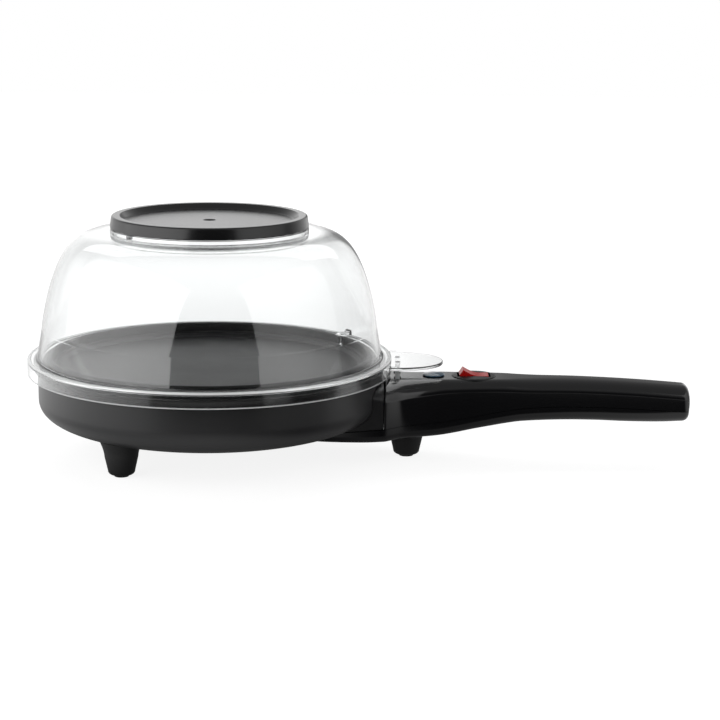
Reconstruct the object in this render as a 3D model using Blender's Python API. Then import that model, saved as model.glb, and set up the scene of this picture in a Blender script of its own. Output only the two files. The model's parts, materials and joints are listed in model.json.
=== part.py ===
# Electric skillet with a clear lift-off dome, a press-on cap and one long handle.
# Metres, +Z up. The table is at z = 0 and the handle points along +X.
# Shapes are given round the pan's own axis, and one empty carries them all, so that
# the origin lies under the middle of the whole object.

import math

import bmesh
import bpy
from mathutils import Vector

for old in list(bpy.data.objects):
    bpy.data.objects.remove(old)

# General sizes
gap = 0.0003
overrun = 0.002
sink = 0.0008
round_steps = 48
half_steps = 32
small_steps = 10
fine_steps = 16
tiny_steps = 8
arc_steps = 5
total_length = 0.4395

# Brim and dome; the widths go inwards from the brim, and the heights up from it
brim_radius = 0.1204
brim_top = 0.0680
brim_thickness = 0.0020
brim_width = 0.0065
brim_edge_radius = 0.0012
skirt_height = 0.0104
skirt_wall = 0.0020
dome_rise = 0.0829
dome_wall = 0.0022
dome_lean = 0.0032
dome_waist_share = 0.2364
dome_side_power = 3.79
dome_top_power = 1.2
dome_foot_radius = brim_radius - brim_width
dome_foot_fillet = 0.0012
dome_waist_radius = dome_foot_radius - dome_lean
dome_waist_height = brim_top + dome_rise * dome_waist_share
dome_crown_height = brim_top + dome_rise
collar_share = 0.58898
collar_radius = dome_waist_radius * collar_share
collar_wall = 0.0022
collar_rise = 0.0024
collar_depth = 0.0077
collar_top = dome_crown_height + collar_rise
collar_bottom = collar_top - collar_depth
crown_inset = 0.0035
dome_crown_radius = collar_radius - crown_inset

# Tab of the dome
tab_drop = 0.0028
tab_top = brim_top - tab_drop
tab_thickness = 0.0030
tab_reach = 0.0343
tab_half_width = 0.0268
tab_steps = 14
tab_roundness = 0.8
tab_step_height = 0.0008
tab_step_reach = 0.0060
prong_offset = 0.0040
prong_length = 0.0030
prong_width = 0.0060
prong_spacing = 0.0160
prong_depth = 0.0020
slot_clearance = 0.0008
lug_angle = math.radians(33)
lug_width = 0.0060
lug_thickness = 0.0018
lug_clearance = 0.0008
lug_drop = 0.0062

# Cap
cap_rim_radius = collar_radius
cap_rise = 0.0081
cap_rim_top = collar_top + cap_rise
cap_rim_width = 0.0060
cap_rim_round = 0.0016
cap_floor_rise = 0.0046
cap_floor_top = collar_top + cap_floor_rise
cap_floor_thickness = 0.0025
cap_floor_inset = 0.0050
cap_side_draft = 0.0007
cap_floor_radius = cap_rim_radius - cap_side_draft - cap_rim_width - cap_floor_inset
cap_hole_radius = 0.0039
cap_skirt_width = 0.0042
cap_lug_count = 2
cap_lug_angle = math.radians(219)
cap_lug_length = 0.0032
cap_lug_width = 0.0036
cap_lug_depth = 0.0022
cap_lug_clearance = 0.0005

# Cooking plate
plate_thickness = 0.0030
plate_wall_thickness = 0.0018
plate_clearance = 0.0041
plate_rim_rise = 0.0015
plate_rim_width = 0.0022
plate_depth = 0.0095
plate_ledge = 0.0014
plate_slope_width = 0.0032
plate_step_height = 0.0032
plate_rim_radius = dome_foot_radius - dome_wall - plate_clearance
plate_rim_top = brim_top + plate_rim_rise
plate_top = plate_rim_top - plate_depth
plate_step_radius = plate_rim_radius - plate_rim_width - plate_wall_thickness - plate_ledge
plate_radius = plate_step_radius - plate_slope_width
plate_rim_round = 0.0009
plate_slope_shares = (0.75, 0.25)

# Bowl housing
bowl_wall = 0.0022
bowl_clearance = 0.0020
bowl_flange_width = 0.0028
bowl_flange_drop = 0.0038
bowl_flange_thickness = 0.0026
bowl_flange_flare = 0.0052
bowl_floor_share = 0.449
bowl_bottom_share = 0.28676
bowl_corner_share = 0.47835
bowl_corner_power = 2.39
bowl_corner_steps = 6
bowl_flange_radius = brim_radius - skirt_wall - bowl_clearance
bowl_flange_top = plate_rim_top - bowl_flange_drop
bowl_radius = bowl_flange_radius - bowl_flange_width
bowl_floor_radius = bowl_radius * bowl_floor_share
bowl_bottom = brim_top * bowl_bottom_share
bowl_corner_height = bowl_bottom + (bowl_flange_top - bowl_bottom) * bowl_corner_share

# Heat shield, posts and plate bosses
shield_share = 0.3591
shield_bottom = bowl_bottom + (plate_top - bowl_bottom) * shield_share
shield_thickness = 0.0008
shield_width_share = 0.7923
shield_radius = bowl_radius * shield_width_share
shield_rim_height = 0.0050
post_radius = 0.0060
boss_radius = 0.0045
foot_circle_share = 0.7126
foot_circle_radius = bowl_radius * foot_circle_share
foot_angle = math.radians(131)

# Heating element and its clamp
element_tube_radius = 0.0033
element_clearance = 0.0040
element_ring_radius = foot_circle_radius - boss_radius - element_tube_radius - element_clearance
element_opening = math.radians(35)
element_arc_points = 26
element_end_reach = 0.0090
element_end_share = 0.2289
element_end_x = element_ring_radius + element_end_reach
element_end_y = bowl_radius * element_end_share
element_end_steps = 5
element_bend_share = 0.45
pin_radius = 0.0015
pin_length = 0.0120
bead_radius = 0.0029
bead_length = 0.0045
clamp_inner_width = 0.0180
clamp_outer_width = 0.0062
clamp_inner_radius = element_ring_radius - clamp_inner_width
clamp_outer_radius = element_ring_radius + clamp_outer_width
clamp_thickness = 0.0012
clamp_mouth_half = 0.0160
clamp_boss_radius = 0.0032
clamp_boss_inset = 0.0075
clamp_boss_circle = clamp_inner_radius + clamp_boss_inset
clamp_screw_count = 3
clamp_screw_phase = math.radians(60)
tongue_half_width = 0.0080
tongue_reach = 0.0180

# Thermostat and thermal fuse
thermostat_cap_radius = 0.0080
thermostat_body_radius = 0.0092
bay_height = plate_top - plate_thickness - shield_bottom - shield_thickness
thermostat_body_share = 0.411
thermostat_drop_share = 0.210
thermostat_body_height = bay_height * thermostat_body_share
thermostat_flange_drop = bay_height * thermostat_drop_share
thermostat_flange_thickness = 0.0012
thermostat_ear_half = 0.0180
thermostat_ear_width = 0.0090
thermostat_screw_offset = 0.0140
blade_width = 0.0048
blade_thickness = 0.0008
blade_share = 0.274
blade_length = bay_height * blade_share
blade_spacing = 0.0050
fuse_length = 0.0240
fuse_inset = 0.0090
fuse_offset = clamp_inner_radius - fuse_inset

# Screws
screw_shank_radius = 0.0015
screw_head_radius = 0.0029
screw_head_height = 0.0020
screw_clearance = 0.0005
small_screw_shank_radius = 0.0012
small_screw_head_radius = 0.0022
small_screw_head_height = 0.0015
screw_bite = 0.0100
small_screw_bite = thermostat_flange_drop - 2 * gap

# Feet
foot_tip_radius = 0.0054
foot_top_radius = 0.0108
foot_taper_share = 0.7879
foot_bore_share = 0.6667
foot_flare_radius = 0.0155
foot_mid_shares = (0.81, 0.30)
foot_tip_shares = ((0.62, 0.28), (0.90, 0.62))
foot_bore_radius = 0.0036
pad_radius = 0.0050
pad_thickness = 0.0012
pad_stub_radius = 0.0032
pad_stub_length = 0.0040

# Handle
handle_wall = 0.0024
handle_end_wall = 0.0030
handle_end_round = 0.0040
handle_front_round = 0.0016
handle_clearance = 0.0018
handle_tail_reach = 0.0674
switch_zone_length = 0.0936
handle_drop = 0.0132
handle_root_drop = 0.0030
handle_front_x = bowl_radius + handle_clearance
handle_tail_x = handle_front_x - handle_tail_reach
grip_front_x = handle_front_x + switch_zone_length
handle_top = brim_top - handle_drop
handle_root_bottom = bowl_bottom - handle_root_drop
handle_depth = handle_top - handle_root_bottom
handle_foot_reach = 0.0156
handle_foot_x = handle_front_x + handle_foot_reach
base_screw_reach = 0.0140
base_screw_offset = handle_tail_x + base_screw_reach
foot_taper_height = handle_root_bottom * foot_taper_share
foot_bore_height = handle_root_bottom * foot_bore_share
handle_root_half = 0.0372
handle_grip_half = 0.0138
handle_top_round = 0.0058
handle_bottom_round = 0.0050
least_round = 0.0013
top_round_share = 0.5
bottom_round_share = 0.7
cover_hollow_reach = 0.0120
cover_hollow_x = base_screw_offset + cover_hollow_reach
neck_inset = 0.0012
root_boss_share = 0.4047
grip_boss_share = 0.6136
root_boss_bottom = handle_root_bottom + handle_depth * root_boss_share
grip_boss_bottom = handle_root_bottom + handle_depth * grip_boss_share
grip_bite = 0.0080
cover_head_depth = 0.0070
base_head_depth = 0.0016
seam_gap = 0.0003
corner_steps = 3
end_round_steps = 3
station_spacing = 0.0055
grip_boss_inset = 0.0235
grip_boss_radius = 0.0040
grip_post_radius = 0.0048
root_boss_radius = 0.0044
neck_screw_y = 0.0200
neck_screw_share = 0.7180
neck_screw_height = handle_root_bottom + handle_depth * neck_screw_share
neck_boss_radius = 0.0042
neck_boss_length = 0.0090
passage_half_width = 0.0100
passage_shares = (0.4308, 0.3133)
passage_bottom = handle_root_bottom + handle_depth * passage_shares[0]
passage_height = handle_depth * passage_shares[1]

# Switch
switch_reach = 0.0599
switch_x = handle_front_x + switch_reach
bezel_radius = 0.0143
bezel_thickness = 0.0014
bezel_proud = 0.0006
bezel_round = 0.0005
rocker_half_length = 0.0103
rocker_half_width = 0.0062
rocker_tip_half = 0.0087
rocker_tip_height = 0.0030
rocker_dip_height = 0.0010
rocker_pivot_drop = 0.0025
rocker_heel_drop = 0.0015
rocker_hub_half = 0.0042
rocker_hub_drop = 0.0062
rocker_tilt = math.radians(13)
rocker_clearance = 0.0004
rocker_dip_shares = (0.5, 0.32)
rocker_heel_share = 0.86
axle_radius = 0.0008
axle_length = 0.0007
switch_half_length = 0.0118
switch_half_width = 0.0077
switch_depth_share = 0.5222
switch_pocket_share = 0.5
switch_blade_share = 0.1567
switch_depth = handle_depth * switch_depth_share
switch_pocket_depth = switch_depth * switch_pocket_share
switch_blade_drop = handle_depth * switch_blade_share
switch_blade_spacing = 0.0070

# Lamp
lamp_reach = 0.0332
lamp_x = handle_front_x + lamp_reach
lens_radius = 0.0073
lens_flange_height = 0.0007
lens_crown = 0.0009
lens_crown_shares = ((0.66, 0.62), (0.33, 0.93))
lens_skirt_radius = 0.0056
lens_skirt_wall = 0.0010
lens_skirt_length = 0.0100
neon_radius = 0.0043
neon_length = 0.0130
neon_gap = 0.0006
neon_foot_shares = (0.8, 0.3)
neon_tip_shares = (0.6, 0.1)

# Cord bush and terminal block
bush_share = 0.5666
bush_clearance = 0.0022
bush_shoulder = 0.0016
bush_sleeve = 0.0014
bush_flange_thickness = 0.0014
bush_proud = 0.0006
end_shares = (0.2715, 0.8851)
bush_height = handle_root_bottom + handle_depth * bush_share
bush_flange_radius = handle_depth * (end_shares[1] - end_shares[0]) / 2 - handle_wall - bush_clearance
bush_neck_radius = bush_flange_radius - bush_shoulder
bush_bore_radius = bush_neck_radius - bush_sleeve
handle_end_x = total_length - brim_radius - bush_proud - gap
grip_boss_x = handle_end_x - grip_boss_inset
block_share = 0.5526
block_x = switch_x + (grip_boss_x - switch_x) * block_share
block_half_length = 0.0120
block_half_width = 0.0060
block_height = 0.0095
block_pitch = 0.0037
block_low_wire = 0.0029
block_high_wire = 0.0067

# Wires
wire_radius = 0.0011
earth_share = 0.315

# Colours, roughness and metallic value of each finish
finishes = {
    "bowl_plastic": ((0.020, 0.020, 0.022), 0.38, 0.0),
    "handle_plastic": ((0.008, 0.008, 0.010), 0.16, 0.0),
    "foot_plastic": ((0.014, 0.014, 0.015), 0.55, 0.0),
    "pad_rubber": ((0.020, 0.020, 0.020), 0.85, 0.0),
    "clear_plastic": ((0.92, 0.93, 0.94), 0.04, 0.0),
    "cap_plastic": ((0.035, 0.035, 0.036), 0.50, 0.0),
    "nonstick": ((0.075, 0.075, 0.078), 0.42, 0.3),
    "rocker_red": ((0.62, 0.02, 0.015), 0.20, 0.0),
    "lens_blue": ((0.05, 0.16, 0.24), 0.10, 0.0),
    "neon_glass": ((0.85, 0.70, 0.55), 0.10, 0.0),
    "element_steel": ((0.32, 0.31, 0.30), 0.45, 0.9),
    "shield_aluminium": ((0.70, 0.70, 0.71), 0.35, 1.0),
    "screw_steel": ((0.55, 0.55, 0.56), 0.35, 1.0),
    "ceramic": ((0.80, 0.78, 0.72), 0.60, 0.0),
    "wire_brown": ((0.18, 0.07, 0.03), 0.50, 0.0),
    "wire_blue": ((0.03, 0.10, 0.40), 0.50, 0.0),
    "wire_green": ((0.15, 0.42, 0.06), 0.50, 0.0),
}

# The empty that stands on the pan's axis
pan_axis = bpy.data.objects.new("pan_axis", None)
pan_axis.location = (brim_radius - total_length / 2, 0, 0)
bpy.context.collection.objects.link(pan_axis)


# Materials

def finish_material(name):
    found = bpy.data.materials.get(name)
    if found:
        return found
    colour, roughness, metallic = finishes[name]
    material = bpy.data.materials.new(name)
    material.use_nodes = True
    shader = material.node_tree.nodes["Principled BSDF"]
    shader.inputs["Base Color"].default_value = (*colour, 1)
    shader.inputs["Roughness"].default_value = roughness
    shader.inputs["Metallic"].default_value = metallic
    return material


# Building blocks

def add_object(name, data, finish=None):
    made = bpy.data.objects.new(name, data)
    bpy.context.collection.objects.link(made)
    made.parent = pan_axis
    if finish:
        data.materials.append(finish_material(finish))
    return made


def mesh_object(name, bm, finish=None, smooth=True):
    bmesh.ops.remove_doubles(bm, verts=bm.verts, dist=gap / 100)
    bmesh.ops.recalc_face_normals(bm, faces=bm.faces)
    mesh = bpy.data.meshes.new(name)
    bm.to_mesh(mesh)
    bm.free()
    if smooth:
        mesh.shade_smooth()
        mesh.set_sharp_from_angle(angle=math.radians(32))
    return add_object(name, mesh, finish)


def arc(x, z, radius, start, end, steps=arc_steps):
    points = []
    for step in range(steps + 1):
        angle = math.radians(start + (end - start) * step / steps)
        points.append((x + radius * math.cos(angle), z + radius * math.sin(angle)))
    return points


def turned(name, profile, finish=None, steps=round_steps, centre=(0, 0), lift=0):
    # A closed profile of (radius, height) points turned round the vertical.
    bm = bmesh.new()
    verts = [bm.verts.new((radius, 0, height)) for radius, height in profile]
    edges = [bm.edges.new((verts[i - 1], verts[i])) for i in range(len(verts))]
    bmesh.ops.spin(
        bm,
        geom=verts + edges,
        axis=(0, 0, 1),
        cent=(0, 0, 0),
        angle=math.tau,
        steps=steps,
        use_merge=True,
    )
    bmesh.ops.dissolve_degenerate(bm, dist=gap / 100, edges=bm.edges)
    made = mesh_object(name, bm, finish)
    made.location = (centre[0], centre[1], lift)
    return made


def block(name, low, high, finish=None, bevel=0):
    bm = bmesh.new()
    bmesh.ops.create_cube(bm, size=1)
    low = Vector(low)
    high = Vector(high)
    for vert in bm.verts:
        for axis in range(3):
            vert.co[axis] = low[axis] if vert.co[axis] < 0 else high[axis]
    if bevel:
        bmesh.ops.bevel(bm, geom=bm.edges, offset=bevel, segments=1, affect="EDGES")
    return mesh_object(name, bm, finish, smooth=False)


def extruded(name, outline, low_y, high_y, finish=None):
    # An outline of (x, z) points pulled along Y.
    bm = bmesh.new()
    face = bm.faces.new([bm.verts.new((x, low_y, z)) for x, z in outline])
    pulled = bmesh.ops.extrude_face_region(bm, geom=[face])
    moved = [item for item in pulled["geom"] if isinstance(item, bmesh.types.BMVert)]
    bmesh.ops.translate(bm, verts=moved, vec=(0, high_y - low_y, 0))
    return mesh_object(name, bm, finish)


def plan_extruded(name, outline, low_z, high_z, finish=None):
    # An outline of (x, y) points pulled along Z.
    bm = bmesh.new()
    face = bm.faces.new([bm.verts.new((x, y, low_z)) for x, y in outline])
    pulled = bmesh.ops.extrude_face_region(bm, geom=[face])
    moved = [item for item in pulled["geom"] if isinstance(item, bmesh.types.BMVert)]
    bmesh.ops.translate(bm, verts=moved, vec=(0, 0, high_z - low_z))
    return mesh_object(name, bm, finish)


def rod(name, start, end, radius, finish=None, steps=small_steps):
    start = Vector(start)
    end = Vector(end)
    along = end - start
    made = turned(name, [(0, 0), (radius, 0), (radius, along.length), (0, along.length)], finish, steps)
    made.location = start
    made.rotation_euler = along.to_track_quat("Z", "Y").to_euler()
    return made


def lofted(name, rings, finish=None):
    # Rings with the same count of points, joined in order and closed at both ends.
    bm = bmesh.new()
    loops = [[bm.verts.new(point) for point in ring] for ring in rings]
    for before, after in zip(loops, loops[1:]):
        for i in range(len(before)):
            bm.faces.new((before[i - 1], before[i], after[i], after[i - 1]))
    bm.faces.new(loops[0])
    bm.faces.new(loops[-1])
    return mesh_object(name, bm, finish)


def boolean(target, others, operation):
    # One Boolean takes all the others at once, so that they may also cross each other.
    modifier = target.modifiers.new(operation.lower(), "BOOLEAN")
    modifier.operation = operation
    modifier.solver = "EXACT"
    for other in others:
        other.hide_render = True
        other.display_type = "WIRE"
    if len(others) == 1:
        modifier.object = others[0]
        return target
    group = bpy.data.collections.new(target.name + "_" + operation.lower())
    for other in others:
        group.objects.link(other)
    modifier.operand_type = "COLLECTION"
    modifier.collection = group
    return target


def cut(target, *others):
    return boolean(target, others, "DIFFERENCE")


def join(target, *others):
    return boolean(target, others, "UNION")


def keep_inside(target, other):
    return boolean(target, [other], "INTERSECT")


def screw(name, tip, length, big=True, direction=(0, 0, 1)):
    # A pan-head screw; tip is the end of its shank, and direction runs from head to tip.
    shank = screw_shank_radius if big else small_screw_shank_radius
    head = screw_head_radius if big else small_screw_head_radius
    height = screw_head_height if big else small_screw_head_height
    total = length + height
    profile = [
        (0, 0),
        (head - height / 3, 0),
        (head, height / 3),
        (head, height),
        (shank, height),
        (shank, total - shank / 2),
        (shank / 2, total),
        (0, total),
    ]
    made = turned(name, profile, "screw_steel", small_steps if big else tiny_steps)
    made.rotation_euler = Vector(direction).to_track_quat("Z", "Y").to_euler()
    made.location = Vector(tip) - Vector(direction) * total
    return made


def polar(radius, angle):
    return (radius * math.cos(angle), radius * math.sin(angle))


def smooth_between(table, x):
    # Catmull-Rom through (x, value) pairs with unlike spacing, flat past the ends.
    if x <= table[0][0]:
        return table[0][1]
    if x >= table[-1][0]:
        return table[-1][1]
    for i in range(len(table) - 1):
        x1, y1 = table[i]
        x2, y2 = table[i + 1]
        if x1 <= x <= x2:
            break
    x0, y0 = table[max(i - 1, 0)]
    x3, y3 = table[min(i + 2, len(table) - 1)]
    slope1 = (y2 - y0) / (x2 - x0)
    slope2 = (y3 - y1) / (x3 - x1)
    t = (x - x1) / (x2 - x1)
    span = x2 - x1
    return (
        (2 * t**3 - 3 * t**2 + 1) * y1
        + (t**3 - 2 * t**2 + t) * span * slope1
        + (3 * t**2 - 2 * t**3) * y2
        + (t**3 - t**2) * span * slope2
    )


# The bowl's outer form, also used to cut what touches it

def bowl_corner(offset=0, steps=bowl_corner_steps):
    # From the side wall down to the flat floor, at a distance outside the outer form.
    width = bowl_radius - bowl_floor_radius + offset
    height = bowl_corner_height - bowl_bottom + offset
    points = []
    for step in range(steps + 1):
        angle = math.pi / 2 * step / steps
        across = math.cos(angle) ** (2 / bowl_corner_power)
        down = math.sin(angle) ** (2 / bowl_corner_power)
        points.append((bowl_floor_radius + width * across, bowl_corner_height - height * down))
    return points


def bowl_height_at(radius, offset=0):
    # Height of the underside at a radius from the axis.
    if radius <= bowl_floor_radius:
        return bowl_bottom - offset
    width = bowl_radius - bowl_floor_radius + offset
    share = min((radius - bowl_floor_radius) / width, 1)
    down = (1 - share**bowl_corner_power) ** (1 / bowl_corner_power)
    return bowl_corner_height - (bowl_corner_height - bowl_bottom + offset) * down


def bowl_cutter(name):
    # The whole bowl as a solid, one gap larger all round.
    corner = bowl_corner(gap)
    profile = [(0, bowl_flange_top), (bowl_radius + gap, bowl_flange_top)]
    profile += corner
    profile.append((0, bowl_bottom - gap))
    return turned(name, profile)


# Places of the three long screws and the three posts
foot_front_place = polar(foot_circle_radius, -foot_angle)
foot_rear_place = polar(foot_circle_radius, foot_angle)
base_screw_place = (base_screw_offset, 0)
post_places = {
    "foot_front": foot_front_place,
    "foot_rear": foot_rear_place,
    "base": base_screw_place,
}
shield_top = shield_bottom + shield_thickness
boss_bottom = shield_top + gap
plate_underside = plate_top - plate_thickness
element_axis_height = plate_underside - gap - element_tube_radius
clamp_top = element_axis_height - element_tube_radius - gap
clamp_bottom = clamp_top - clamp_thickness
thermostat_flange_top = plate_underside - thermostat_flange_drop


# Pan

def make_bowl_housing():
    inner_corner = [point for point in reversed(bowl_corner(-bowl_wall))]
    flange_bottom = bowl_flange_top - bowl_flange_thickness
    plate_wall_radius = plate_rim_radius - plate_rim_width + gap
    flare = arc(
        bowl_radius + bowl_flange_flare,
        flange_bottom - bowl_flange_flare,
        bowl_flange_flare,
        120,
        180,
        3,
    )
    profile = [
        (plate_wall_radius, bowl_flange_top),
        (bowl_flange_radius, bowl_flange_top),
        (bowl_flange_radius, flange_bottom),
    ]
    profile += flare
    profile += bowl_corner()
    profile.append((0, bowl_bottom))
    profile.append((0, bowl_bottom + bowl_wall))
    profile += inner_corner
    profile.append((bowl_radius - bowl_wall, flange_bottom))
    profile.append((plate_wall_radius, flange_bottom))
    bowl = turned("bowl_housing", profile, "bowl_plastic")
    posts = []
    holes = [passage_cutter("bowl_passage")]
    for name, place in post_places.items():
        far = math.hypot(*place) + post_radius
        near = math.hypot(*place) - post_radius
        low = (bowl_height_at(far) + bowl_height_at(near, -bowl_wall)) / 2
        top = shield_bottom - gap
        posts.append(rod("post_" + name, (*place, low), (*place, top), post_radius, steps=fine_steps))
        hole_radius = screw_shank_radius + screw_clearance
        holes.append(rod("post_hole_" + name, (*place, bowl_bottom - overrun), (*place, shield_top), hole_radius))
    for side in (-1, 1):
        holes.append(neck_screw_hole("bowl_screw_hole_%d" % side, side))
    join(bowl, *posts)
    cut(bowl, *holes)
    return bowl


def make_cooking_plate():
    wall_out = plate_rim_radius - plate_rim_width
    wall_in = wall_out - plate_wall_thickness
    rim_bottom = bowl_flange_top + gap
    step_top = plate_top + plate_step_height
    slope = plate_step_radius - plate_radius
    profile = [
        (0, plate_top),
        (plate_radius, plate_top),
        (plate_radius + slope * plate_slope_shares[0], plate_top + plate_step_height * plate_slope_shares[1]),
        (plate_step_radius, step_top),
        (wall_in, step_top + plate_rim_round),
        (wall_in + plate_rim_round, plate_rim_top - plate_rim_round),
    ]
    profile += arc(
        plate_rim_radius - 2 * plate_rim_round,
        plate_rim_top - 2 * plate_rim_round,
        2 * plate_rim_round,
        100,
        0,
        3,
    )
    profile += [
        (plate_rim_radius, rim_bottom),
        (wall_out, rim_bottom),
        (wall_out, step_top - plate_rim_round),
        (plate_radius + plate_wall_thickness, plate_underside),
        (0, plate_underside),
    ]
    plate = turned("cooking_plate", profile, "nonstick")
    top = plate_underside + sink
    bosses = []
    for place in post_places.values():
        bosses.append(blind_boss(place, boss_bottom, top, boss_radius, screw_shank_radius, screw_bite + overrun))
    small_places = list(clamp_screw_places())
    small_places = [(place, clamp_top + gap) for place in small_places]
    small_places += [((0, y), thermostat_flange_top + gap) for y in (-thermostat_screw_offset, thermostat_screw_offset)]
    for place, low in small_places:
        depth = small_screw_bite + gap
        bosses.append(blind_boss(place, low, top, clamp_boss_radius, small_screw_shank_radius, depth))
    return join(plate, *bosses)


def blind_boss(place, low, top, radius, shank, depth):
    # A boss that hangs down, with a blind hole for a screw's shank.
    hole = shank + gap
    profile = [(hole, low), (radius, low), (radius, top), (0, top), (0, low + depth), (hole, low + depth)]
    return turned("boss", profile, steps=small_steps, centre=place)


def clamp_screw_places():
    for number in range(clamp_screw_count):
        angle = clamp_screw_phase + math.tau * number / clamp_screw_count
        yield polar(clamp_boss_circle, angle)


def make_heating_element():
    points = []
    for step in range(element_arc_points + 1):
        angle = element_opening + (math.tau - 2 * element_opening) * step / element_arc_points
        points.append(Vector((*polar(element_ring_radius, angle), element_axis_height)))
    ends = []
    start = points[0]
    heading = Vector((math.sin(element_opening), -math.cos(element_opening), 0))
    target = Vector((element_end_x, element_end_y, element_axis_height))
    reach = (target - start).length
    bend = start + heading * reach * element_bend_share
    settle = target - Vector((reach * element_bend_share, 0, 0))
    for step in range(1, element_end_steps + 1):
        ends.append(bezier(start, bend, settle, target, step / element_end_steps))
    mirrored = [Vector((point.x, -point.y, point.z)) for point in ends]
    return tube("heating_element", list(reversed(ends)) + points + mirrored, element_tube_radius, "element_steel", 2)


def bezier(a, b, c, d, t):
    s = 1 - t
    return a * s**3 + b * 3 * s**2 * t + c * 3 * s * t**2 + d * t**3


def tube(name, points, radius, finish, sides=1):
    curve = bpy.data.curves.new(name, "CURVE")
    curve.dimensions = "3D"
    curve.bevel_depth = radius
    curve.bevel_resolution = sides
    curve.use_fill_caps = True
    spline = curve.splines.new("POLY")
    spline.points.add(len(points) - 1)
    for target, point in zip(spline.points, points):
        target.co = (*point, 1)
    return add_object(name, curve, finish)


def make_element_pins():
    for name, side in (("element_pin_live", 1), ("element_pin_neutral", -1)):
        profile = [
            (0, 0),
            (bead_radius, 0),
            (bead_radius, bead_length),
            (pin_radius, bead_length),
            (pin_radius, bead_length + pin_length),
            (0, bead_length + pin_length),
        ]
        pin = turned(name, profile, "ceramic", small_steps)
        pin.rotation_euler = (0, math.pi / 2, 0)
        pin.location = (element_end_x + gap, side * element_end_y, element_axis_height)


def make_element_clamp():
    profile = [
        (clamp_inner_radius, clamp_bottom),
        (clamp_outer_radius, clamp_bottom),
        (clamp_outer_radius, clamp_top),
        (clamp_inner_radius, clamp_top),
    ]
    clamp = turned("element_clamp", profile, "shield_aluminium", steps=half_steps)
    tongue = block(
        "clamp_tongue",
        (-clamp_inner_radius - sink, -tongue_half_width, clamp_bottom),
        (-clamp_inner_radius + tongue_reach, tongue_half_width, clamp_top),
    )
    join(clamp, tongue)
    mouth = block(
        "clamp_mouth",
        (0, -clamp_mouth_half, clamp_bottom - overrun),
        (clamp_outer_radius + overrun, clamp_mouth_half, clamp_top + overrun),
    )
    cutters = [mouth]
    for number, place in enumerate(clamp_screw_places(), 1):
        hole = rod(
            "clamp_hole_%d" % number,
            (*place, clamp_bottom - overrun),
            (*place, clamp_top + overrun),
            small_screw_shank_radius + screw_clearance,
            steps=tiny_steps,
        )
        cutters.append(hole)
        length = clamp_thickness + 2 * gap + small_screw_bite
        screw("clamp_screw_%d" % number, (*place, clamp_top + gap + small_screw_bite - gap), length, big=False)
    return cut(clamp, *cutters)


def make_thermostat():
    flange_bottom = thermostat_flange_top - thermostat_flange_thickness
    body_bottom = flange_bottom - thermostat_body_height
    profile = [
        (0, body_bottom),
        (thermostat_body_radius, body_bottom),
        (thermostat_body_radius, flange_bottom + thermostat_flange_thickness / 2),
        (thermostat_cap_radius, flange_bottom + thermostat_flange_thickness / 2),
        (thermostat_cap_radius, plate_underside - gap),
        (0, plate_underside - gap),
    ]
    thermostat = turned("thermostat", profile, "ceramic", steps=fine_steps)
    ears = block(
        "thermostat_ears",
        (-thermostat_ear_width / 2, -thermostat_ear_half, flange_bottom),
        (thermostat_ear_width / 2, thermostat_ear_half, thermostat_flange_top),
    )
    pieces = [ears]
    for side in (-1, 1):
        blade = block(
            "thermostat_blade_%d" % side,
            (side * blade_spacing - blade_thickness / 2, -blade_width / 2, body_bottom - blade_length),
            (side * blade_spacing + blade_thickness / 2, blade_width / 2, body_bottom + sink),
        )
        pieces.append(blade)
    join(thermostat, *pieces)
    holes = []
    for number, side in ((1, -1), (2, 1)):
        place = (0, side * thermostat_screw_offset)
        hole = rod(
            "ear_hole_%d" % number,
            (*place, flange_bottom - overrun),
            (*place, thermostat_flange_top + overrun),
            small_screw_shank_radius + screw_clearance,
            steps=tiny_steps,
        )
        holes.append(hole)
        length = thermostat_flange_thickness + 2 * gap + small_screw_bite
        screw("thermostat_screw_%d" % number, (*place, thermostat_flange_top + small_screw_bite), length, big=False)
    return cut(thermostat, *holes)


def make_thermal_fuse():
    fuse_height = (plate_underside + clamp_top) / 2
    return rod(
        "thermal_fuse",
        (-fuse_offset, -fuse_length / 2, fuse_height),
        (-fuse_offset, fuse_length / 2, fuse_height),
        (plate_underside - clamp_top) / 2 - gap,
        "neon_glass",
    )


def make_heat_shield():
    inner = shield_radius - shield_thickness
    profile = [
        (0, shield_bottom),
        (shield_radius, shield_bottom),
        (shield_radius, shield_bottom + shield_rim_height),
        (inner, shield_bottom + shield_rim_height),
        (inner, shield_top),
        (0, shield_top),
    ]
    shield = turned("heat_shield", profile, "shield_aluminium", steps=half_steps)
    holes = []
    for name, place in post_places.items():
        hole = rod(
            "shield_hole_" + name,
            (*place, shield_bottom - overrun),
            (*place, shield_top + overrun),
            screw_shank_radius + screw_clearance,
        )
        holes.append(hole)
    return cut(shield, *holes)


def foot_profile(top_radius, height):
    # From the flat tip up to the top, without the bore.
    mid_radius = foot_top_radius * foot_mid_shares[0]
    mid_height = foot_taper_height * foot_mid_shares[1]
    profile = [(0, pad_thickness), (foot_tip_radius, pad_thickness)]
    for out_share, up_share in foot_tip_shares:
        radius = foot_tip_radius + (mid_radius - foot_tip_radius) * out_share
        profile.append((radius, pad_thickness + (mid_height - pad_thickness) * up_share))
    return profile + [(mid_radius, mid_height), (foot_top_radius, foot_taper_height), (top_radius, height), (0, height)]


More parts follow.
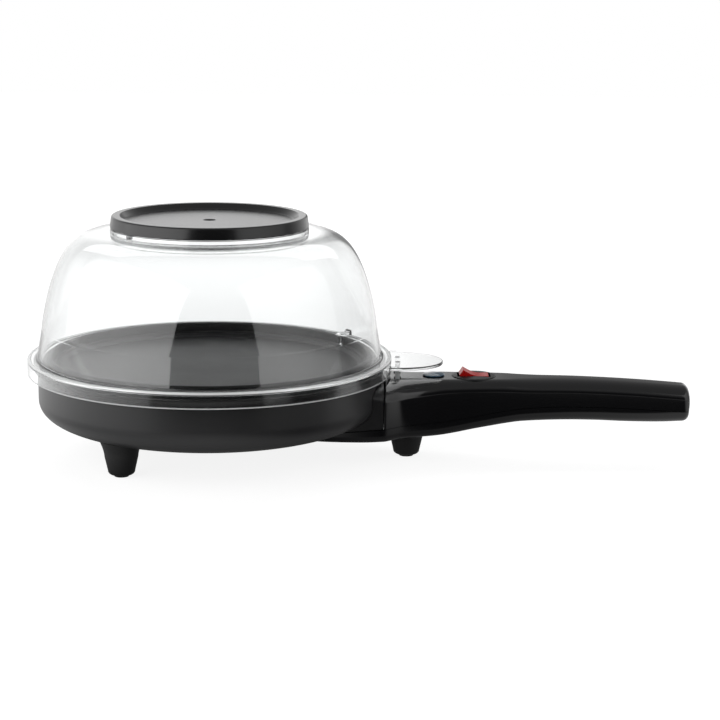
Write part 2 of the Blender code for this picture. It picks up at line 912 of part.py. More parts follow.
def make_foot(name, place, top_radius, height, seat):
    # The tapered foot is cut to its seat, and bored from below for its screw and pad.
    foot = turned(name, foot_profile(top_radius, height), "foot_plastic", steps=fine_steps, centre=place)
    bore = rod(name + "_bore", (*place, -overrun), (*place, foot_bore_height), foot_bore_radius, steps=fine_steps)
    hole = rod(name + "_hole", (*place, 0), (*place, height + overrun), screw_shank_radius + screw_clearance)
    cut(foot, seat, bore, hole)
    pad_profile = [
        (0, 0),
        (pad_radius - pad_thickness / 2, 0),
        (pad_radius, pad_thickness / 2),
        (pad_radius, pad_thickness - gap),
        (pad_stub_radius, pad_thickness - gap),
        (pad_stub_radius, pad_thickness + pad_stub_length),
        (0, pad_thickness + pad_stub_length),
    ]
    pad = turned(name.replace("foot", "foot_pad"), pad_profile, "pad_rubber", steps=fine_steps, centre=place)
    return foot, pad


def make_feet():
    for name, place in (("foot_front", foot_front_place), ("foot_rear", foot_rear_place)):
        reach = foot_circle_radius + foot_flare_radius
        height = bowl_height_at(reach) + overrun
        make_foot(name, place, foot_flare_radius, height, bowl_cutter(name + "_seat"))
        tip = boss_bottom + screw_bite
        head_seat = foot_bore_height - gap
        screw(name.replace("foot", "foot_screw"), (*place, tip), tip - head_seat)
    seat = handle_form("foot_handle_seat", handle_tail_x, handle_end_x, gap)
    make_foot("foot_handle", (handle_foot_x, 0), foot_top_radius, handle_root_bottom + overrun, seat)


# Handle form. A place along the handle is -1 at its tail, 0 at its front wall, 1 where the grip
# starts and 2 at its end. Widths are shares of the widest half, heights shares of the depth.

half_shares = [
    (-1, 0.6452),
    (-0.7478, 0.9005),
    (-0.451, 1),
    (0, 1),
    (0.0492, 0.914),
    (0.124, 0.7527),
    (0.2414, 0.6344),
    (0.3804, 0.5591),
    (0.5406, 0.5108),
    (0.6901, 0.4892),
    (0.9572, 0.4382),
    (1.2106, 0.3952),
    (1.5128, 0.3737),
]
bottom_shares = [
    (-1, 0),
    (-0.2, 0),
    (0.0491, 0.0157),
    (0.2735, 0.017),
    (0.4017, 0.0352),
    (0.5299, 0.0836),
    (0.6368, 0.1358),
    (0.7543, 0.1854),
    (0.8665, 0.2298),
    (0.9786, 0.2624),
    (1.2106, 0.282),
    (1.4212, 0.2768),
    (1.6227, 0.2546),
    (1.8333, 0.2507),
]
top_shares = [
    (-1, 1),
    (0.797, 1),
    (1.0092, 0.9987),
    (1.2564, 0.9987),
    (1.467, 0.9817),
    (1.696, 0.9491),
    (1.902, 0.9073),
]
seam_shares = [
    (-1, 0.1567),
    (-0.3769, 0.1958),
    (-0.0133, 0.248),
    (0.156, 0.2533),
    (0.3162, 0.2689),
    (0.4765, 0.3081),
    (0.6475, 0.3786),
    (0.8291, 0.4621),
    (1, 0.5144),
    (1.2106, 0.5405),
    (1.4213, 0.5352),
    (1.6318, 0.5144),
    (1.8333, 0.483),
    (2, 0.4595),
]


def handle_x(place):
    if place <= 0:
        return handle_front_x + handle_tail_reach * place
    if place <= 1:
        return handle_front_x + switch_zone_length * place
    return grip_front_x + (handle_end_x - grip_front_x) * (place - 1)


def handle_z(share):
    return handle_root_bottom + handle_depth * share


half_stations = [(handle_x(place), handle_root_half * share) for place, share in half_shares]
half_stations.append((handle_end_x, handle_grip_half))
bottom_stations = [(handle_x(place), handle_z(share)) for place, share in bottom_shares]
bottom_stations.append((handle_end_x, handle_z(end_shares[0])))
top_stations = [(handle_x(place), handle_z(share)) for place, share in top_shares]
top_stations.append((handle_end_x, handle_z(end_shares[1])))
seam_stations = [(handle_x(place), handle_z(share)) for place, share in seam_shares]

def handle_section(x, extra, inset):
    # One ring of the handle: a rounded box, wider by extra and drawn in by inset.
    grow = extra - inset
    half = smooth_between(half_stations, x) + grow
    top = smooth_between(top_stations, x) + grow
    bottom = smooth_between(bottom_stations, x) - grow
    grip_share = min(max((x - handle_front_x) / (handle_end_x - handle_front_x), 0), 1)
    top_round = handle_top_round * (1 + top_round_share * grip_share) + grow
    bottom_round = handle_bottom_round * (1 + bottom_round_share * grip_share) + grow
    top_round = max(top_round, least_round)
    bottom_round = max(bottom_round, least_round)
    ring = []
    corners = (
        (half - top_round, top - top_round, top_round, 0),
        (-half + top_round, top - top_round, top_round, 90),
        (-half + bottom_round, bottom + bottom_round, bottom_round, 180),
        (half - bottom_round, bottom + bottom_round, bottom_round, 270),
    )
    for y, z, radius, start in corners:
        for step in range(corner_steps + 1):
            angle = math.radians(start + 90 * step / corner_steps)
            ring.append((x, y + radius * math.cos(angle), z + radius * math.sin(angle)))
    return ring


def handle_form(name, low_x, high_x, extra=0, end_round=0, front_round=0):
    # The whole handle between two stations, its ends rounded if asked.
    low_x -= extra
    high_x += extra
    start = low_x + front_round
    stop = high_x - end_round
    turns = [math.pi / 2 * step / end_round_steps for step in range(end_round_steps)]
    stations = []
    if front_round:
        for turn in turns:
            x = low_x + front_round * (1 - math.cos(turn))
            stations.append((x, front_round * (1 - math.sin(turn))))
    stations.append((start, 0))
    known = sorted(x for x, _ in half_stations + bottom_stations)
    for x in known:
        if x - stations[-1][0] > station_spacing and stop - x > station_spacing:
            stations.append((x, 0))
    stations.append((stop, 0))
    if end_round:
        for turn in reversed(turns):
            x = high_x - end_round * (1 - math.cos(turn))
            stations.append((x, end_round * (1 - math.sin(turn))))
    return lofted(name, [handle_section(x, extra, inset) for x, inset in stations])


def seam_block(name, above):
    # All the space above or below the seam between shell and cover.
    shift = seam_gap / 2 if above else -seam_gap / 2
    xs = [handle_tail_x - handle_root_half] + [x for x, _ in seam_stations] + [handle_end_x + handle_root_half]
    line = [(x, smooth_between(seam_stations, x) + shift) for x in xs]
    far = handle_top + handle_root_half if above else -handle_root_half
    outline = line + [(xs[-1], far), (xs[0], far)]
    side = handle_root_half + 2 * overrun
    return extruded(name, outline, -side, side)


def passage_cutter(name):
    # The way for the wires from the bowl through the neck into the handle.
    return block(
        name,
        (bowl_radius - 4 * bowl_wall, -passage_half_width, passage_bottom),
        (handle_front_x + handle_wall + overrun, passage_half_width, passage_bottom + passage_height),
    )


def neck_screw_hole(name, side):
    return rod(
        name,
        (bowl_radius - 4 * bowl_wall, side * neck_screw_y, neck_screw_height),
        (handle_front_x + handle_wall + overrun, side * neck_screw_y, neck_screw_height),
        screw_shank_radius + screw_clearance,
    )


def make_handle_neck():
    neck = handle_form("handle_neck", handle_tail_x + neck_inset, handle_front_x - gap + neck_inset, -neck_inset)
    neck.data.materials.append(finish_material("bowl_plastic"))
    keep_inside(neck, seam_block("neck_above_seam", True))
    holes = [neck_screw_hole("neck_screw_hole_%d" % number, side) for number, side in ((1, -1), (2, 1))]
    return cut(neck, bowl_cutter("neck_bowl_seat"), passage_cutter("neck_passage"), *holes)


def make_neck_screws():
    for name, side in (("neck_screw_front", -1), ("neck_screw_rear", 1)):
        inner_wall = math.sqrt((bowl_radius - bowl_wall) ** 2 - (abs(neck_screw_y) + screw_head_radius) ** 2)
        head_seat = inner_wall - gap
        tip_x = handle_front_x + neck_boss_length - 2 * overrun
        screw(name, (tip_x, side * neck_screw_y, neck_screw_height), tip_x - head_seat, direction=(1, 0, 0))


def make_handle_shell():
    shell = handle_form("handle_shell", handle_front_x, handle_end_x, 0, handle_end_round, handle_front_round)
    shell.data.materials.append(finish_material("handle_plastic"))
    inner = handle_form(
        "shell_hollow",
        handle_front_x,
        handle_end_x + handle_wall - handle_end_wall,
        -handle_wall,
    )
    cut(shell, inner)
    keep_inside(shell, seam_block("shell_above_seam", True))
    roof = handle_top - handle_wall + sink
    grip_roof = smooth_between(top_stations, grip_boss_x) - handle_wall + sink
    root_place = (handle_foot_x, 0)
    grip_place = (grip_boss_x, 0)
    bosses = [
        rod("root_boss", (*root_place, root_boss_bottom), (*root_place, roof), root_boss_radius),
        rod("grip_boss", (*grip_place, grip_boss_bottom), (*grip_place, grip_roof), grip_boss_radius),
    ]
    thread = screw_shank_radius + gap
    cutters = [
        passage_cutter("shell_passage"),
        bush_cutter("shell_bush_hole"),
        rod("root_hole", (*root_place, root_boss_bottom - overrun), (*root_place, root_boss_bottom + screw_bite), thread),
        rod("grip_hole", (*grip_place, grip_boss_bottom - overrun), (*grip_place, grip_boss_bottom + grip_bite), thread),
    ]
    for side in (-1, 1):
        y = side * neck_screw_y
        start = (handle_front_x + handle_wall - sink, y, neck_screw_height)
        end = (handle_front_x + neck_boss_length, y, neck_screw_height)
        bosses.append(rod("neck_boss_%d" % side, start, end, neck_boss_radius))
        start = (handle_front_x - overrun, y, neck_screw_height)
        end = (handle_front_x + neck_boss_length - overrun, y, neck_screw_height)
        cutters.append(rod("neck_thread_%d" % side, start, end, thread))
        cutters.append(prong_slot("prong_slot_%d" % side, side))
    pocket_bottom = handle_top + bezel_proud - bezel_thickness - gap
    cutters.append(
        rod(
            "bezel_pocket",
            (switch_x, 0, pocket_bottom),
            (switch_x, 0, handle_top + overrun),
            bezel_radius + gap,
            steps=half_steps,
        )
    )
    cutters.append(
        block(
            "switch_hole",
            (switch_x - switch_half_length - gap, -switch_half_width - gap, handle_top - 4 * handle_wall),
            (switch_x + switch_half_length + gap, switch_half_width + gap, handle_top + overrun),
        )
    )
    cutters.append(
        rod(
            "lens_hole",
            (lamp_x, 0, handle_top - 3 * handle_wall),
            (lamp_x, 0, handle_top + overrun),
            lens_skirt_radius + gap,
            steps=fine_steps,
        )
    )
    join(shell, *bosses)
    return cut(shell, *cutters)


def prong_box(side, extra, low, high):
    start = brim_radius + prong_offset - prong_length / 2
    low_corner = (start - extra, side * prong_spacing / 2 - prong_width / 2 - extra, low)
    high_corner = (start + prong_length + extra, side * prong_spacing / 2 + prong_width / 2 + extra, high)
    return low_corner, high_corner


def prong_slot(name, side):
    low, high = prong_box(side, slot_clearance, handle_top - 2 * handle_wall, handle_top + overrun)
    return block(name, low, high)


def bush_cutter(name):
    return rod(
        name,
        (handle_end_x - 4 * handle_wall, 0, bush_height),
        (handle_end_x + overrun, 0, bush_height),
        bush_neck_radius + gap,
        steps=fine_steps,
    )


def make_handle_cover():
    cover = handle_form("handle_cover", handle_tail_x, handle_end_x, 0, handle_end_round, handle_bottom_round)
    cover.data.materials.append(finish_material("handle_plastic"))
    inner = handle_form(
        "cover_hollow",
        cover_hollow_x,
        handle_end_x + handle_wall - handle_end_wall,
        -handle_wall,
    )
    cut(cover, inner)
    keep_inside(cover, seam_block("cover_below_seam", False))
    cut(cover, bowl_cutter("cover_bowl_seat"))
    through = screw_shank_radius + screw_clearance
    head_hole = screw_head_radius + screw_clearance
    root_floor = smooth_between(bottom_stations, handle_foot_x)
    grip_floor = smooth_between(bottom_stations, grip_boss_x)
    posts = []
    for name, x, low, top, radius in (
        ("root_post", handle_foot_x, root_floor, root_boss_bottom, root_boss_radius),
        ("grip_post", grip_boss_x, grip_floor, grip_boss_bottom, grip_post_radius),
    ):
        posts.append(rod(name, (x, 0, low + handle_wall - sink), (x, 0, top - gap), radius, steps=fine_steps))
    cutters = [bush_cutter("cover_bush_hole")]
    for name, x, top, radius in (
        ("root_post_hole", handle_foot_x, root_boss_bottom, through),
        ("grip_post_hole", grip_boss_x, grip_boss_bottom, through),
        ("base_post_hole", base_screw_offset, bowl_height_at(base_screw_offset + head_hole), through),
        ("grip_head_sink", grip_boss_x, grip_floor + cover_head_depth, head_hole),
        ("base_head_sink", base_screw_offset, handle_root_bottom + base_head_depth, head_hole),
    ):
        cutters.append(rod(name, (x, 0, 0), (x, 0, top), radius))
    join(cover, *posts)
    return cut(cover, *cutters)


def make_handle_screws():
    tip = root_boss_bottom + screw_bite - overrun
    head_seat = foot_bore_height - gap
    screw("foot_screw_handle", (handle_foot_x, 0, tip), tip - head_seat)
    tip = grip_boss_bottom + grip_bite - overrun
    head_seat = smooth_between(bottom_stations, grip_boss_x) + cover_head_depth - gap
    screw("cover_screw", (grip_boss_x, 0, tip), tip - head_seat)
    tip = boss_bottom + screw_bite
    head_seat = handle_root_bottom + base_head_depth - gap
    screw("base_screw", (base_screw_offset, 0, tip), tip - head_seat)


# Switch and lamp

def make_switch():
    top = handle_top + bezel_proud
    bottom = top - bezel_thickness
    profile = [(0, bottom), (bezel_radius, bottom)]
    profile += arc(bezel_radius - bezel_round, top - bezel_round, bezel_round, 0, 90, 2)
    profile.append((0, top))
    bezel = turned("switch_bezel", profile, "handle_plastic", steps=half_steps, centre=(switch_x, 0))
    window_half_x = rocker_half_length + 2 * rocker_clearance
    window_half_y = rocker_half_width + rocker_clearance
    window = block(
        "bezel_window",
        (switch_x - window_half_x, -window_half_y, bottom - overrun),
        (switch_x + window_half_x, window_half_y, top + overrun),
    )
    cut(bezel, window)
    body_top = bottom - gap
    body = block(
        "switch_body",
        (switch_x - switch_half_length, -switch_half_width, body_top - switch_depth),
        (switch_x + switch_half_length, switch_half_width, body_top),
        "foot_plastic",
        bevel=bezel_round,
    )
    pocket = block(
        "switch_pocket",
        (switch_x - window_half_x, -window_half_y, body_top - switch_pocket_depth),
        (switch_x + window_half_x, window_half_y, body_top + overrun),
    )
    pivot = switch_pivot()
    socket = rod(
        "axle_socket",
        (pivot.x, -switch_half_width - overrun, pivot.z),
        (pivot.x, switch_half_width + overrun, pivot.z),
        axle_radius + gap,
    )
    blades = []
    for number, side in ((1, -1), (2, 1)):
        blade_x = switch_x + side * switch_blade_spacing
        blade = block(
            "switch_blade_%d" % number,
            (blade_x - blade_thickness / 2, -blade_width / 2, body_top - switch_depth - switch_blade_drop),
            (blade_x + blade_thickness / 2, blade_width / 2, body_top - switch_depth + sink),
        )
        blades.append(blade)
    join(body, *blades)
    cut(body, pocket, socket)
    make_rocker(pivot)


def switch_pivot():
    return Vector((switch_x, 0, handle_top + bezel_proud - rocker_pivot_drop))


def make_rocker(pivot):
    # The side outline in the level position, round the pivot; then it is tipped.
    top_of = rocker_pivot_drop
    dip_x = rocker_tip_half * rocker_dip_shares[0]
    dip_z = rocker_dip_height + (rocker_tip_height - rocker_dip_height) * rocker_dip_shares[1]
    heel = top_of - rocker_heel_drop
    outline = [
        (-rocker_tip_half, top_of + rocker_tip_height),
        (-dip_x, top_of + dip_z),
        (0, top_of + rocker_dip_height),
        (dip_x, top_of + dip_z),
        (rocker_tip_half, top_of + rocker_tip_height),
        (rocker_half_length, heel),
        (rocker_half_length * rocker_heel_share, heel - rocker_heel_drop),
        (rocker_hub_half, top_of - rocker_hub_drop),
        (-rocker_hub_half, top_of - rocker_hub_drop),
        (-rocker_half_length * rocker_heel_share, heel - rocker_heel_drop),
        (-rocker_half_length, heel),
    ]
    rocker = extruded("switch_rocker", outline, -rocker_half_width, rocker_half_width, "rocker_red")
    side = rocker_half_width + rocker_clearance + axle_length
    axle = rod("rocker_axle", (0, -side, 0), (0, side, 0), axle_radius)
    axle.parent = rocker
    join(rocker, axle)
    rocker.location = pivot
    rocker.rotation_euler = (0, rocker_tilt, 0)
    return rocker


def make_lamp():
    seat = handle_top + gap
    inner = lens_skirt_radius - lens_skirt_wall
    profile = [
        (lens_skirt_radius, seat),
        (lens_radius, seat),
        (lens_radius, seat + lens_flange_height),
        (0, seat + lens_flange_height + lens_crown),
        (0, seat - lens_skirt_wall),
        (inner, seat - lens_skirt_wall),
        (inner, seat - lens_skirt_length),
        (lens_skirt_radius, seat - lens_skirt_length),
    ]
    for place, (out_share, up_share) in enumerate(lens_crown_shares, 3):
        crown = seat + lens_flange_height + lens_crown * up_share
        profile.insert(place, (lens_radius * out_share, crown))
    turned("lamp_lens", profile, "lens_blue", steps=fine_steps, centre=(lamp_x, 0))
    bulb_top = seat - lens_skirt_wall - neon_gap
    profile = [
        (0, bulb_top - neon_length),
        (neon_radius * neon_foot_shares[0], bulb_top - neon_length),
        (neon_radius, bulb_top - neon_length + neon_radius * neon_foot_shares[1]),
        (neon_radius, bulb_top - neon_radius * neon_tip_shares[0]),
        (neon_radius * neon_tip_shares[0], bulb_top - neon_radius * neon_tip_shares[1]),
        (0, bulb_top),
    ]
    turned("neon_lamp", profile, "neon_glass", steps=small_steps, centre=(lamp_x, 0))


# Cord bush and terminal block

def make_cord_bush():
    inner_face = handle_end_x - handle_end_wall
    profile = [
        (bush_bore_radius, 0),
        (bush_flange_radius, 0),
        (bush_flange_radius, bush_flange_thickness),
        (bush_neck_radius, bush_flange_thickness),
        (bush_neck_radius, bush_flange_thickness + handle_end_wall + 2 * gap),
        (bush_flange_radius - bush_proud, bush_flange_thickness + handle_end_wall + 2 * gap),
        (bush_flange_radius - 2 * bush_proud, bush_flange_thickness + handle_end_wall + 2 * gap + bush_proud),
        (bush_bore_radius, bush_flange_thickness + handle_end_wall + 2 * gap + bush_proud),
    ]
    bush = turned("cord_bush", profile, "pad_rubber", steps=fine_steps)
    bush.rotation_euler = (0, math.pi / 2, 0)
    bush.location = (inner_face - gap - bush_flange_thickness, 0, bush_height)


def make_terminal_block():
    floor = smooth_between(bottom_stations, block_x) + handle_wall + gap
    body = block(
        "terminal_block",
        (block_x - block_half_length, -block_half_width, floor),
        (block_x + block_half_length, block_half_width, floor + block_height),
        "ceramic",
        bevel=bezel_round,
    )
    wells = []
    for number in (-1, 0, 1):
        centre = number * block_pitch
        well = rod(
            "block_well_%d" % number,
            (block_x, centre, floor + block_height / 2),
            (block_x, centre, floor + block_height + overrun),
            wire_radius,
            steps=tiny_steps,
        )
        wells.append(well)
    return cut(body, *wells)


# Wires: each route is chosen by hand, and a smooth curve runs through its points

def smooth_route(points, per_span=2):
    points = [Vector(point) for point in points]
    padded = [points[0] * 2 - points[1]] + points + [points[-1] * 2 - points[-2]]
    route = []
    for i in range(1, len(padded) - 2):
        p0, p1, p2, p3 = padded[i - 1 : i + 3]
        for step in range(per_span):
            t = step / per_span
            route.append(
                0.5 * (2 * p1 + (p2 - p0) * t + (2 * p0 - 5 * p1 + 4 * p2 - p3) * t**2 + (3 * p1 - p0 - 3 * p2 + p3) * t**3)
            )
    route.append(points[-1])
    return route


def in_handle(place, across, up):
    # A point inside the handle: its place along it, and shares of the grip's half width and of the depth.
    return (handle_x(place), handle_grip_half * across, handle_z(up))


def in_pan(out, across, up):
    # A point under the plate: shares of the bowl's radius and of the height over the shield.
    return (bowl_radius * out, bowl_radius * across, shield_top + bay_height * up)


def in_run(along, across, up):
    # A point between the switch and the terminal block.
    front = block_x - block_half_length
    return (switch_x + (front - switch_x) * along, handle_grip_half * across, handle_z(up))


def by_fuse(out, across, up):
    # A point beside the thermal fuse: shares of its place from the axis and of its half length.
    return (-fuse_offset * out, fuse_length / 2 * across, shield_top + bay_height * up)


def make_wires():
    # Each route runs from one terminal to the next, in order through its points.
    blade_height = handle_top + bezel_proud - bezel_thickness - gap - switch_depth - switch_blade_drop / 2
    touch = blade_thickness / 2 + gap
    front_blade = (switch_x - switch_blade_spacing - touch, 0, blade_height)
    front_blade_side = (switch_x - switch_blade_spacing, -blade_width / 2 - gap, blade_height)
    rear_blade = (switch_x + switch_blade_spacing + touch, 0, blade_height)
    thermostat_blade_height = (
        thermostat_flange_top - thermostat_flange_thickness - thermostat_body_height - blade_length / 2
    )
    thermostat_in = (blade_spacing + touch, 0, thermostat_blade_height)
    thermostat_out = (-blade_spacing - touch, 0, thermostat_blade_height)
    fuse_end = fuse_length / 2 + gap
    fuse_height = (plate_underside + clamp_top) / 2
    pin_tip = element_end_x + 2 * gap + bead_length + pin_length
    block_front = block_x - block_half_length - gap
    block_floor = smooth_between(bottom_stations, block_x) + handle_wall + gap
    block_low = block_floor + block_low_wire
    block_high = block_floor + block_high_wire
    lamp_low = handle_top - lens_skirt_wall - neon_gap - neon_length
    lamp_pin = neon_radius / 2
    routes = {
        "wire_live_in": (
            "wire_brown",
            [
                rear_blade,
                in_run(0.2701, 0, 0.3655),
                in_run(0.4541, 0.0725, 0.3995),
                in_run(0.7298, 0.2174, 0.4178),
                (block_front, block_pitch, block_low),
            ],
        ),
        "wire_switched_live": (
            "wire_brown",
            [
                front_blade,
                in_handle(0.4765, 0.0362, 0.3655),
                in_handle(0.3697, 0.2899, 0.4047),
                in_handle(0.2628, 0.6159, 0.5091),
                in_handle(0.1666, 0.6159, 0.5744),
                in_handle(0.0705, 0.5072, 0.5875),
                in_handle(-0.0504, 0.471, 0.5875),
                in_handle(-0.184, 0.5072, 0.6397),
                in_pan(0.8098, 0.0748, 0.3607),
                in_pan(0.6866, 0.0924, 0.3379),
                in_pan(0.5458, 0.0968, 0.3151),
                in_pan(0.3522, 0.0617, 0.2466),
                in_pan(0.1761, 0.0132, 0.1872),
                thermostat_in,
            ],
        ),
        "wire_fuse": (
            "wire_brown",
            [
                thermostat_out,
                in_pan(-0.1761, -0.0264, 0.2237),
                by_fuse(0.7674, -1.0568, 0.3379),
                by_fuse(0.942, -1.545, 0.5662),
                by_fuse(1, -1.4231, 0.7717),
                (-fuse_offset, -fuse_end, fuse_height),
            ],
        ),
        "wire_element": (
            "wire_brown",
            [
                (-fuse_offset, fuse_end, fuse_height),
                by_fuse(1, 1.4231, 0.7717),
                by_fuse(0.9303, 1.7074, 0.5662),
                by_fuse(0.6978, 2.1135, 0.4064),
                in_pan(0, 0.2729, 0.3607),
                in_pan(0.2641, 0.2905, 0.3607),
                in_pan(0.5281, 0.2993, 0.3607),
                in_pan(0.7483, 0.2949, 0.3607),
                in_pan(0.8451, 0.2773, 0.4749),
                in_pan(0.8891, 0.2509, 0.6804),
                in_pan(0.8803, 0.2315, 0.8219),
                (pin_tip, element_end_y, element_axis_height),
            ],
        ),
        "wire_neutral": (
            "wire_blue",
            [
                (pin_tip, -element_end_y, element_axis_height),
                in_pan(0.8803, -0.2315, 0.8219),
                in_pan(0.8935, -0.2069, 0.6575),
                in_pan(0.8979, -0.1497, 0.4749),
                in_handle(-0.184, -0.7609, 0.6527),
                in_handle(-0.1395, -0.5435, 0.5744),
                in_handle(-0.0356, -0.471, 0.5352),
                in_handle(0.0705, -0.5435, 0.5222),
                in_handle(0.1666, -0.6159, 0.5091),
                in_handle(0.3162, -0.7609, 0.4569),
                in_handle(0.5085, -0.8696, 0.4178),
                in_run(0.215, -0.8333, 0.4178),
                in_run(0.4541, -0.5797, 0.4256),
                in_run(0.7298, -0.2174, 0.4308),
                (block_front, 0.0000, block_low),
            ],
        ),
        "wire_earth": (
            "wire_green",
            [
                (base_screw_offset + boss_radius + gap, 0, shield_top + bay_height * earth_share),
                in_pan(0.7042, 0, 0.3516),
                in_pan(0.8098, 0, 0.3699),
                in_handle(-0.1691, 0, 0.6606),
                in_handle(-0.0356, 0, 0.6397),
                in_handle(0.0332, -0.1087, 0.6527),
                in_handle(0.1025, -0.5072, 0.6789),
                in_handle(0.1773, -0.6159, 0.6789),
                in_handle(0.2842, -0.6884, 0.6397),
                in_handle(0.391, -0.7971, 0.5875),
                in_handle(0.5085, -0.8696, 0.5483),
                in_run(0.215, -0.8333, 0.53),
                in_run(0.4541, -0.7246, 0.5091),
                in_run(0.7298, -0.4348, 0.483),
                (block_front, -block_pitch, block_low),
            ],
        ),
        "wire_lamp_live": (
            "wire_brown",
            [
                (lamp_x, -lamp_pin, lamp_low),
                in_handle(0.3632, -0.1884, 0.483),
                in_handle(0.4231, -0.3623, 0.3838),
                in_handle(0.4979, -0.4928, 0.3603),
                in_handle(0.5481, -0.4348, 0.3603),
                front_blade_side,
            ],
        ),
        "wire_lamp_neutral": (
            "wire_blue",
            [
                (lamp_x, lamp_pin, lamp_low),
                in_handle(0.3632, 0.2536, 0.5352),
                in_handle(0.4337, 0.6884, 0.483),
                in_handle(0.5085, 0.8696, 0.47),
                in_run(0.215, 0.8333, 0.483),
                in_run(0.4541, 0.5797, 0.5091),
                in_run(0.7298, 0.2174, 0.5352),
                (block_front, 0.0000, block_high),
            ],
        ),
    }
    for name, (finish, points) in routes.items():
        tube(name, smooth_route(points), wire_radius, finish)


# Dome lid

def dome_curve(offset, steps=8):
    # From the foot of the wall up to the crown, at a distance inside the outer form.
    width = dome_waist_radius - dome_crown_radius - offset
    height = dome_crown_height - dome_waist_height - offset
    meet = math.acos(((collar_radius - dome_crown_radius) / width) ** (dome_side_power / 2))
    points = [(dome_foot_radius - offset, brim_top), (dome_waist_radius - offset, dome_waist_height)]
    for step in range(1, steps + 1):
        angle = meet * step / steps
        across = math.cos(angle) ** (2 / dome_side_power)
        up = math.sin(angle) ** (2 / dome_top_power)
        points.append((dome_crown_radius + width * across, dome_waist_height + height * up))
    return points


def make_dome_lid():
    outer = dome_curve(0)
    inner = dome_curve(dome_wall)
    skirt_bottom = brim_top - skirt_height
    under_brim = brim_top - brim_thickness
    profile = [(brim_radius, skirt_bottom)]
    profile += arc(brim_radius - brim_edge_radius, brim_top - brim_edge_radius, brim_edge_radius, 0, 90, 2)
    profile += arc(
        dome_foot_radius + dome_foot_fillet,
        brim_top + dome_foot_fillet,
        dome_foot_fillet,
        270,
        190,
        2,
    )
    profile += outer[1:]
    profile += [
        (collar_radius, collar_top),
        (collar_radius - collar_wall, collar_top),
        (collar_radius - collar_wall, collar_bottom),
        (collar_radius, collar_bottom),
    ]
    profile += list(reversed(inner))[:-1]
    profile += [
        (dome_foot_radius - dome_wall, under_brim),
        (brim_radius - skirt_wall, under_brim),
        (brim_radius - skirt_wall, skirt_bottom),
    ]
    dome = turned("dome_lid", profile, "clear_plastic")
    root = brim_radius - skirt_wall + sink
    tip = brim_radius + tab_reach
    outline = []
    for step in range(tab_steps + 1):
        angle = math.radians(-90 + 180 * step / tab_steps)
        across = math.sin(angle)
        along = math.cos(angle) ** tab_roundness
        outline.append((root + (tip - root) * along, tab_half_width * across))
    tab = plan_extruded("tab", outline, tab_top - tab_thickness, tab_top)
    inside = disc_profile(brim_radius - skirt_wall / 2, skirt_bottom - overrun, brim_top + overrun)
    bore = turned("tab_bore", inside)
    cut(tab, bore)
    pieces = [tab, make_dome_lug()]
    for side in (-1, 1):
        low, high = prong_box(side, 0, handle_top - prong_depth, tab_top - tab_thickness + sink)
        pieces.append(block("prong_%d" % side, low, high))
    narrowed = [(x, y * (1 - tab_step_height / tab_half_width)) for x, y in outline]
    step = plan_extruded("tab_step", narrowed, tab_top - sink, tab_top + tab_step_height)
    keep_inside(step, turned("tab_step_edge", disc_profile(brim_radius + tab_step_reach, skirt_bottom, brim_top)))
    cut(step, bore)
    return join(dome, *pieces, step)


def disc_profile(radius, low, high):
    return [(0, low), (radius, low), (radius, high), (0, high)]


def make_dome_lug():
    # A hook that reaches from the dome's wall over the plate's rim and keeps the dome in place.
    low = plate_rim_top + lug_clearance
    high = low + lug_thickness
    foot = plate_rim_radius - plate_rim_width - plate_wall_thickness - lug_clearance
    slope = (dome_foot_radius - dome_waist_radius) / (dome_waist_height - brim_top)
    wall = dome_foot_radius - dome_wall / 2 - slope * (high - brim_top)
    outline = [
        (foot - lug_thickness, low - lug_drop),
        (foot, low - lug_drop),
        (foot, low),
        (wall, low),
        (wall, high + lug_thickness),
        (wall - lug_thickness, high + lug_thickness),
        (wall - 2 * lug_thickness, high),
        (foot - lug_thickness / 2, high),
        (foot - lug_thickness, high - lug_thickness / 2),
    ]
    lug = extruded("dome_lug", outline, -lug_width / 2, lug_width / 2)
    lug.rotation_euler = (0, 0, lug_angle)
    return lug


# Cap

def make_top_cap():
    floor_bottom = cap_floor_top - cap_floor_thickness
    rim_inner = cap_rim_radius - cap_side_draft - cap_rim_width
    rim_bottom = collar_top + gap
    profile = [
        (cap_hole_radius, floor_bottom),
        (cap_hole_radius, cap_floor_top),
        (cap_floor_radius, cap_floor_top),
        (rim_inner, cap_rim_top - cap_side_draft),
        (rim_inner + cap_side_draft, cap_rim_top),
    ]
    profile += arc(
        cap_rim_radius - cap_side_draft - cap_rim_round,
        cap_rim_top - cap_rim_round,
        cap_rim_round,
        90,
        0,
        3,
    )
    profile += [
        (cap_rim_radius, (cap_rim_top + rim_bottom) / 2),
        (cap_rim_radius, rim_bottom + cap_side_draft),
        (cap_rim_radius - cap_side_draft, rim_bottom),
        (cap_rim_radius - cap_skirt_width, rim_bottom),
        (cap_rim_radius - cap_skirt_width, floor_bottom),
    ]
    cap = turned("top_cap", profile, "cap_plastic")
    outer = collar_radius - collar_wall - cap_lug_clearance
    lugs = []
    for number in range(cap_lug_count):
        angle = cap_lug_angle + math.tau * number / cap_lug_count
        lug = block(
            "cap_lug_%d" % number,
            (outer - cap_lug_depth, -cap_lug_width / 2, rim_bottom - cap_lug_length),
            (outer, cap_lug_width / 2, floor_bottom + sink),
        )
        lug.rotation_euler = (0, 0, angle)
        lugs.append(lug)
    return join(cap, *lugs)


make_bowl_housing()
make_cooking_plate()
make_heating_element()
make_element_pins()
make_element_clamp()
make_thermostat()
make_thermal_fuse()
make_heat_shield()
make_feet()
make_handle_neck()
make_neck_screws()
make_handle_shell()
make_handle_cover()
make_handle_screws()
make_switch()
make_lamp()
make_cord_bush()
make_terminal_block()
make_wires()
make_dome_lid()
make_top_cap()
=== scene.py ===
import json
import math
import bmesh
import bpy
from mathutils import Matrix, Vector

